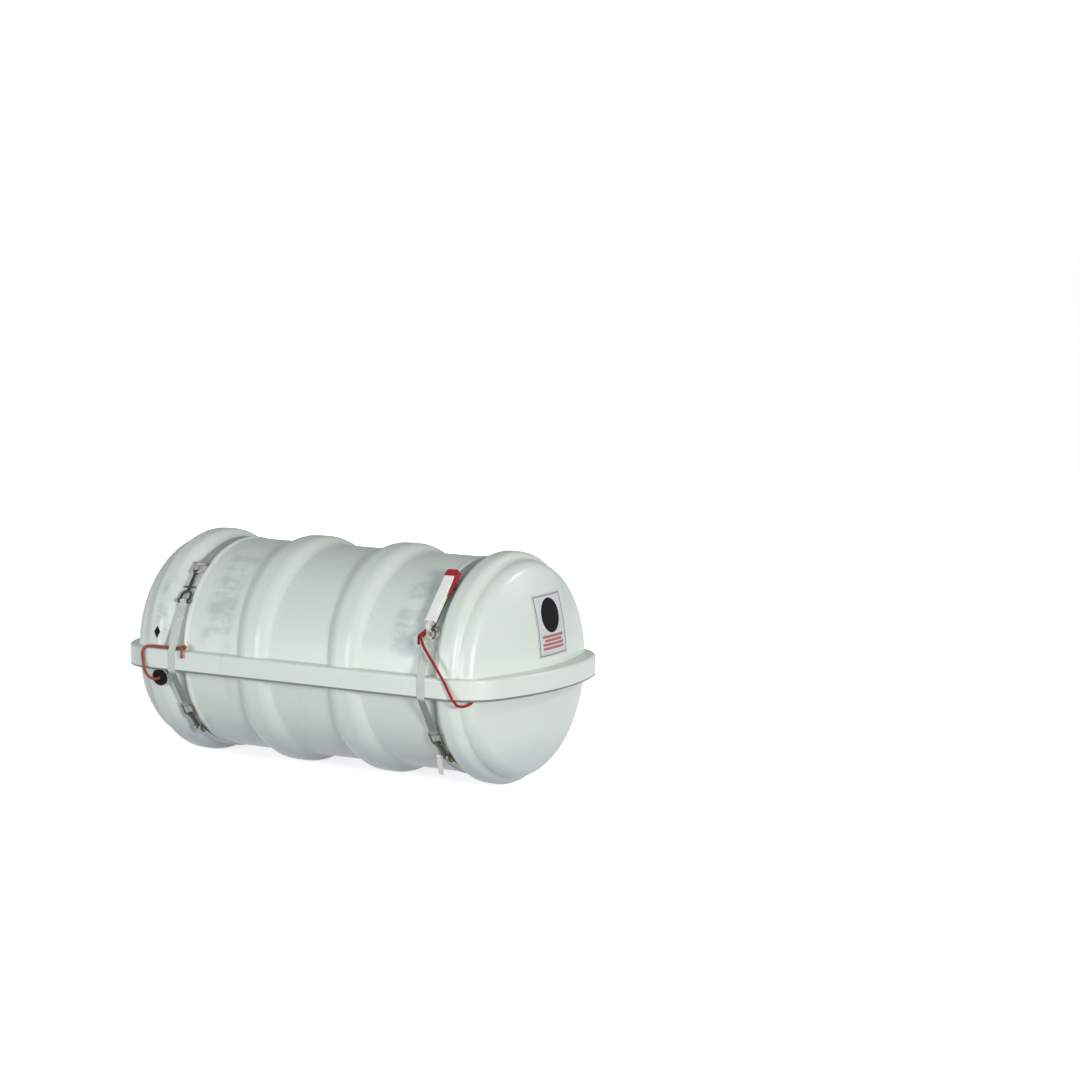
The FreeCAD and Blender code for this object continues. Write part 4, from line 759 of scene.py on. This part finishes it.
LOZENGE = [(-0.0115, 0.0), (0.0, 3.0), (0.0115, 0.0), (0.0, -3.6)]
plain_mark("lozenge_mark", -0.513, 10.9, refined(LOZENGE), "black_rubber")


# ------------------------------------------------------------------ stage
FLOOR_HALF, FLOOR_DROP = 40.0, 0.0002
LAMP_TARGET = (0, 0, 0.35)
CAMERA_TURN, CAMERA_RISE = 32.425, 7.159  # degrees, found from the photo
CAMERA_TARGET = (0, 0, 0.322)
CAMERA_BACK, CAMERA_RIGHT, CAMERA_UP = 10.0392, 0.5384, 0.3525
SENSOR, FOCAL_PIXELS, FRAME_PIXELS = 36, 3346.4, 1080


def floor_material(name, colour, glow):
    """White to the camera and in reflections, with its shadow kept; a pale surface to the rest."""
    mat = bpy.data.materials.new(name)
    mat.use_nodes = True
    tree = mat.node_tree
    tree.nodes.clear()
    out = tree.nodes.new("ShaderNodeOutputMaterial")
    diffuse = tree.nodes.new("ShaderNodeBsdfDiffuse")
    diffuse.inputs[0].default_value = (*colour, 1)
    seen = tree.nodes.new("ShaderNodeBsdfDiffuse")
    seen.inputs[0].default_value = (0.62, 0.62, 0.62, 1)
    light = tree.nodes.new("ShaderNodeEmission")
    light.inputs[1].default_value = glow
    both = tree.nodes.new("ShaderNodeAddShader")
    tree.links.new(seen.outputs[0], both.inputs[0])
    tree.links.new(light.outputs[0], both.inputs[1])
    path = tree.nodes.new("ShaderNodeLightPath")
    total = path.outputs["Is Camera Ray"]
    for other in ("Is Glossy Ray", "Is Transmission Ray"):
        most = tree.nodes.new("ShaderNodeMath")
        most.operation = "MAXIMUM"
        tree.links.new(total, most.inputs[0])
        tree.links.new(path.outputs[other], most.inputs[1])
        total = most.outputs[0]
    choose = tree.nodes.new("ShaderNodeMixShader")
    tree.links.new(total, choose.inputs[0])
    tree.links.new(diffuse.outputs[0], choose.inputs[1])
    tree.links.new(both.outputs[0], choose.inputs[2])
    tree.links.new(choose.outputs[0], out.inputs[0])
    return mat


def build_stage():
    """The floor, and a world that is white to the camera and a soft sky to the rest."""
    mesh = bpy.data.meshes.new("floor")
    half = FLOOR_HALF
    corners = [(-half, -half, 0), (half, -half, 0), (half, half, 0), (-half, half, 0)]
    mesh.from_pydata(corners, [], [(0, 1, 2, 3)])
    floor = bpy.data.objects.new("floor", mesh)
    floor.location.z = -FLOOR_DROP
    bpy.context.scene.collection.objects.link(floor)
    mesh.materials.append(floor_material("floor_white", (0.30, 0.33, 0.38), 0.78))
    world = bpy.data.worlds.new("studio")
    bpy.context.scene.world = world
    world.use_nodes = True
    tree = world.node_tree
    tree.nodes.clear()
    out = tree.nodes.new("ShaderNodeOutputWorld")
    sky = tree.nodes.new("ShaderNodeBackground")
    sky.inputs[0].default_value = (0.93, 0.97, 1.0, 1)
    sky.inputs[1].default_value = 0.36
    white = tree.nodes.new("ShaderNodeBackground")
    white.inputs[0].default_value = (1, 1, 1, 1)
    white.inputs[1].default_value = 1.0
    path = tree.nodes.new("ShaderNodeLightPath")
    choose = tree.nodes.new("ShaderNodeMixShader")
    tree.links.new(path.outputs["Is Camera Ray"], choose.inputs[0])
    tree.links.new(sky.outputs[0], choose.inputs[1])
    tree.links.new(white.outputs[0], choose.inputs[2])
    tree.links.new(choose.outputs[0], out.inputs[0])


def area_light(name, place, size, power, colour=(1, 1, 1), gloss=True):
    """A round lamp turned to the canister."""
    data = bpy.data.lights.new(name, "AREA")
    data.shape = "DISK"
    data.size = size
    data.energy = power
    data.color = colour
    lamp = bpy.data.objects.new(name, data)
    lamp.location = place
    lamp.visible_glossy = gloss
    aim = Vector(LAMP_TARGET) - Vector(place)
    lamp.rotation_euler = aim.to_track_quat("-Z", "Y").to_euler()
    bpy.context.scene.collection.objects.link(lamp)


def build_camera():
    """The photo's camera, set off to one side so that the canister lies as it does in the photo."""
    turn, rise = math.radians(CAMERA_TURN), math.radians(CAMERA_RISE)
    back = Vector((math.sin(turn) * math.cos(rise), -math.cos(turn) * math.cos(rise),
                   math.sin(rise)))
    right = Vector((math.cos(turn), math.sin(turn), 0))
    up = back.cross(right)
    place = Vector(CAMERA_TARGET) + back * CAMERA_BACK + right * CAMERA_RIGHT + up * CAMERA_UP
    data = bpy.data.cameras.new("camera")
    data.sensor_width = SENSOR
    data.lens = FOCAL_PIXELS / FRAME_PIXELS * SENSOR
    data.clip_end = 200
    camera = bpy.data.objects.new("camera", data)
    facing = Matrix((right, up, back)).transposed().to_4x4()
    camera.matrix_world = Matrix.Translation(place) @ facing
    bpy.context.scene.collection.objects.link(camera)
    bpy.context.scene.camera = camera


build_stage()
build_camera()
area_light("key", (6.2, -3.7, 1.5), 1.6, 300, (1.0, 0.998, 0.965))
area_light("fill", (-1.8, -5.4, 1.0), 2.6, 120, (0.97, 0.99, 1.0))
area_light("back", (4.2, 3.8, 3.0), 0.8, 60)
area_light("rear", (-3.4, 5.0, 0.7), 3.0, 110, gloss=False)
bpy.context.scene.view_settings.view_transform = "Standard"
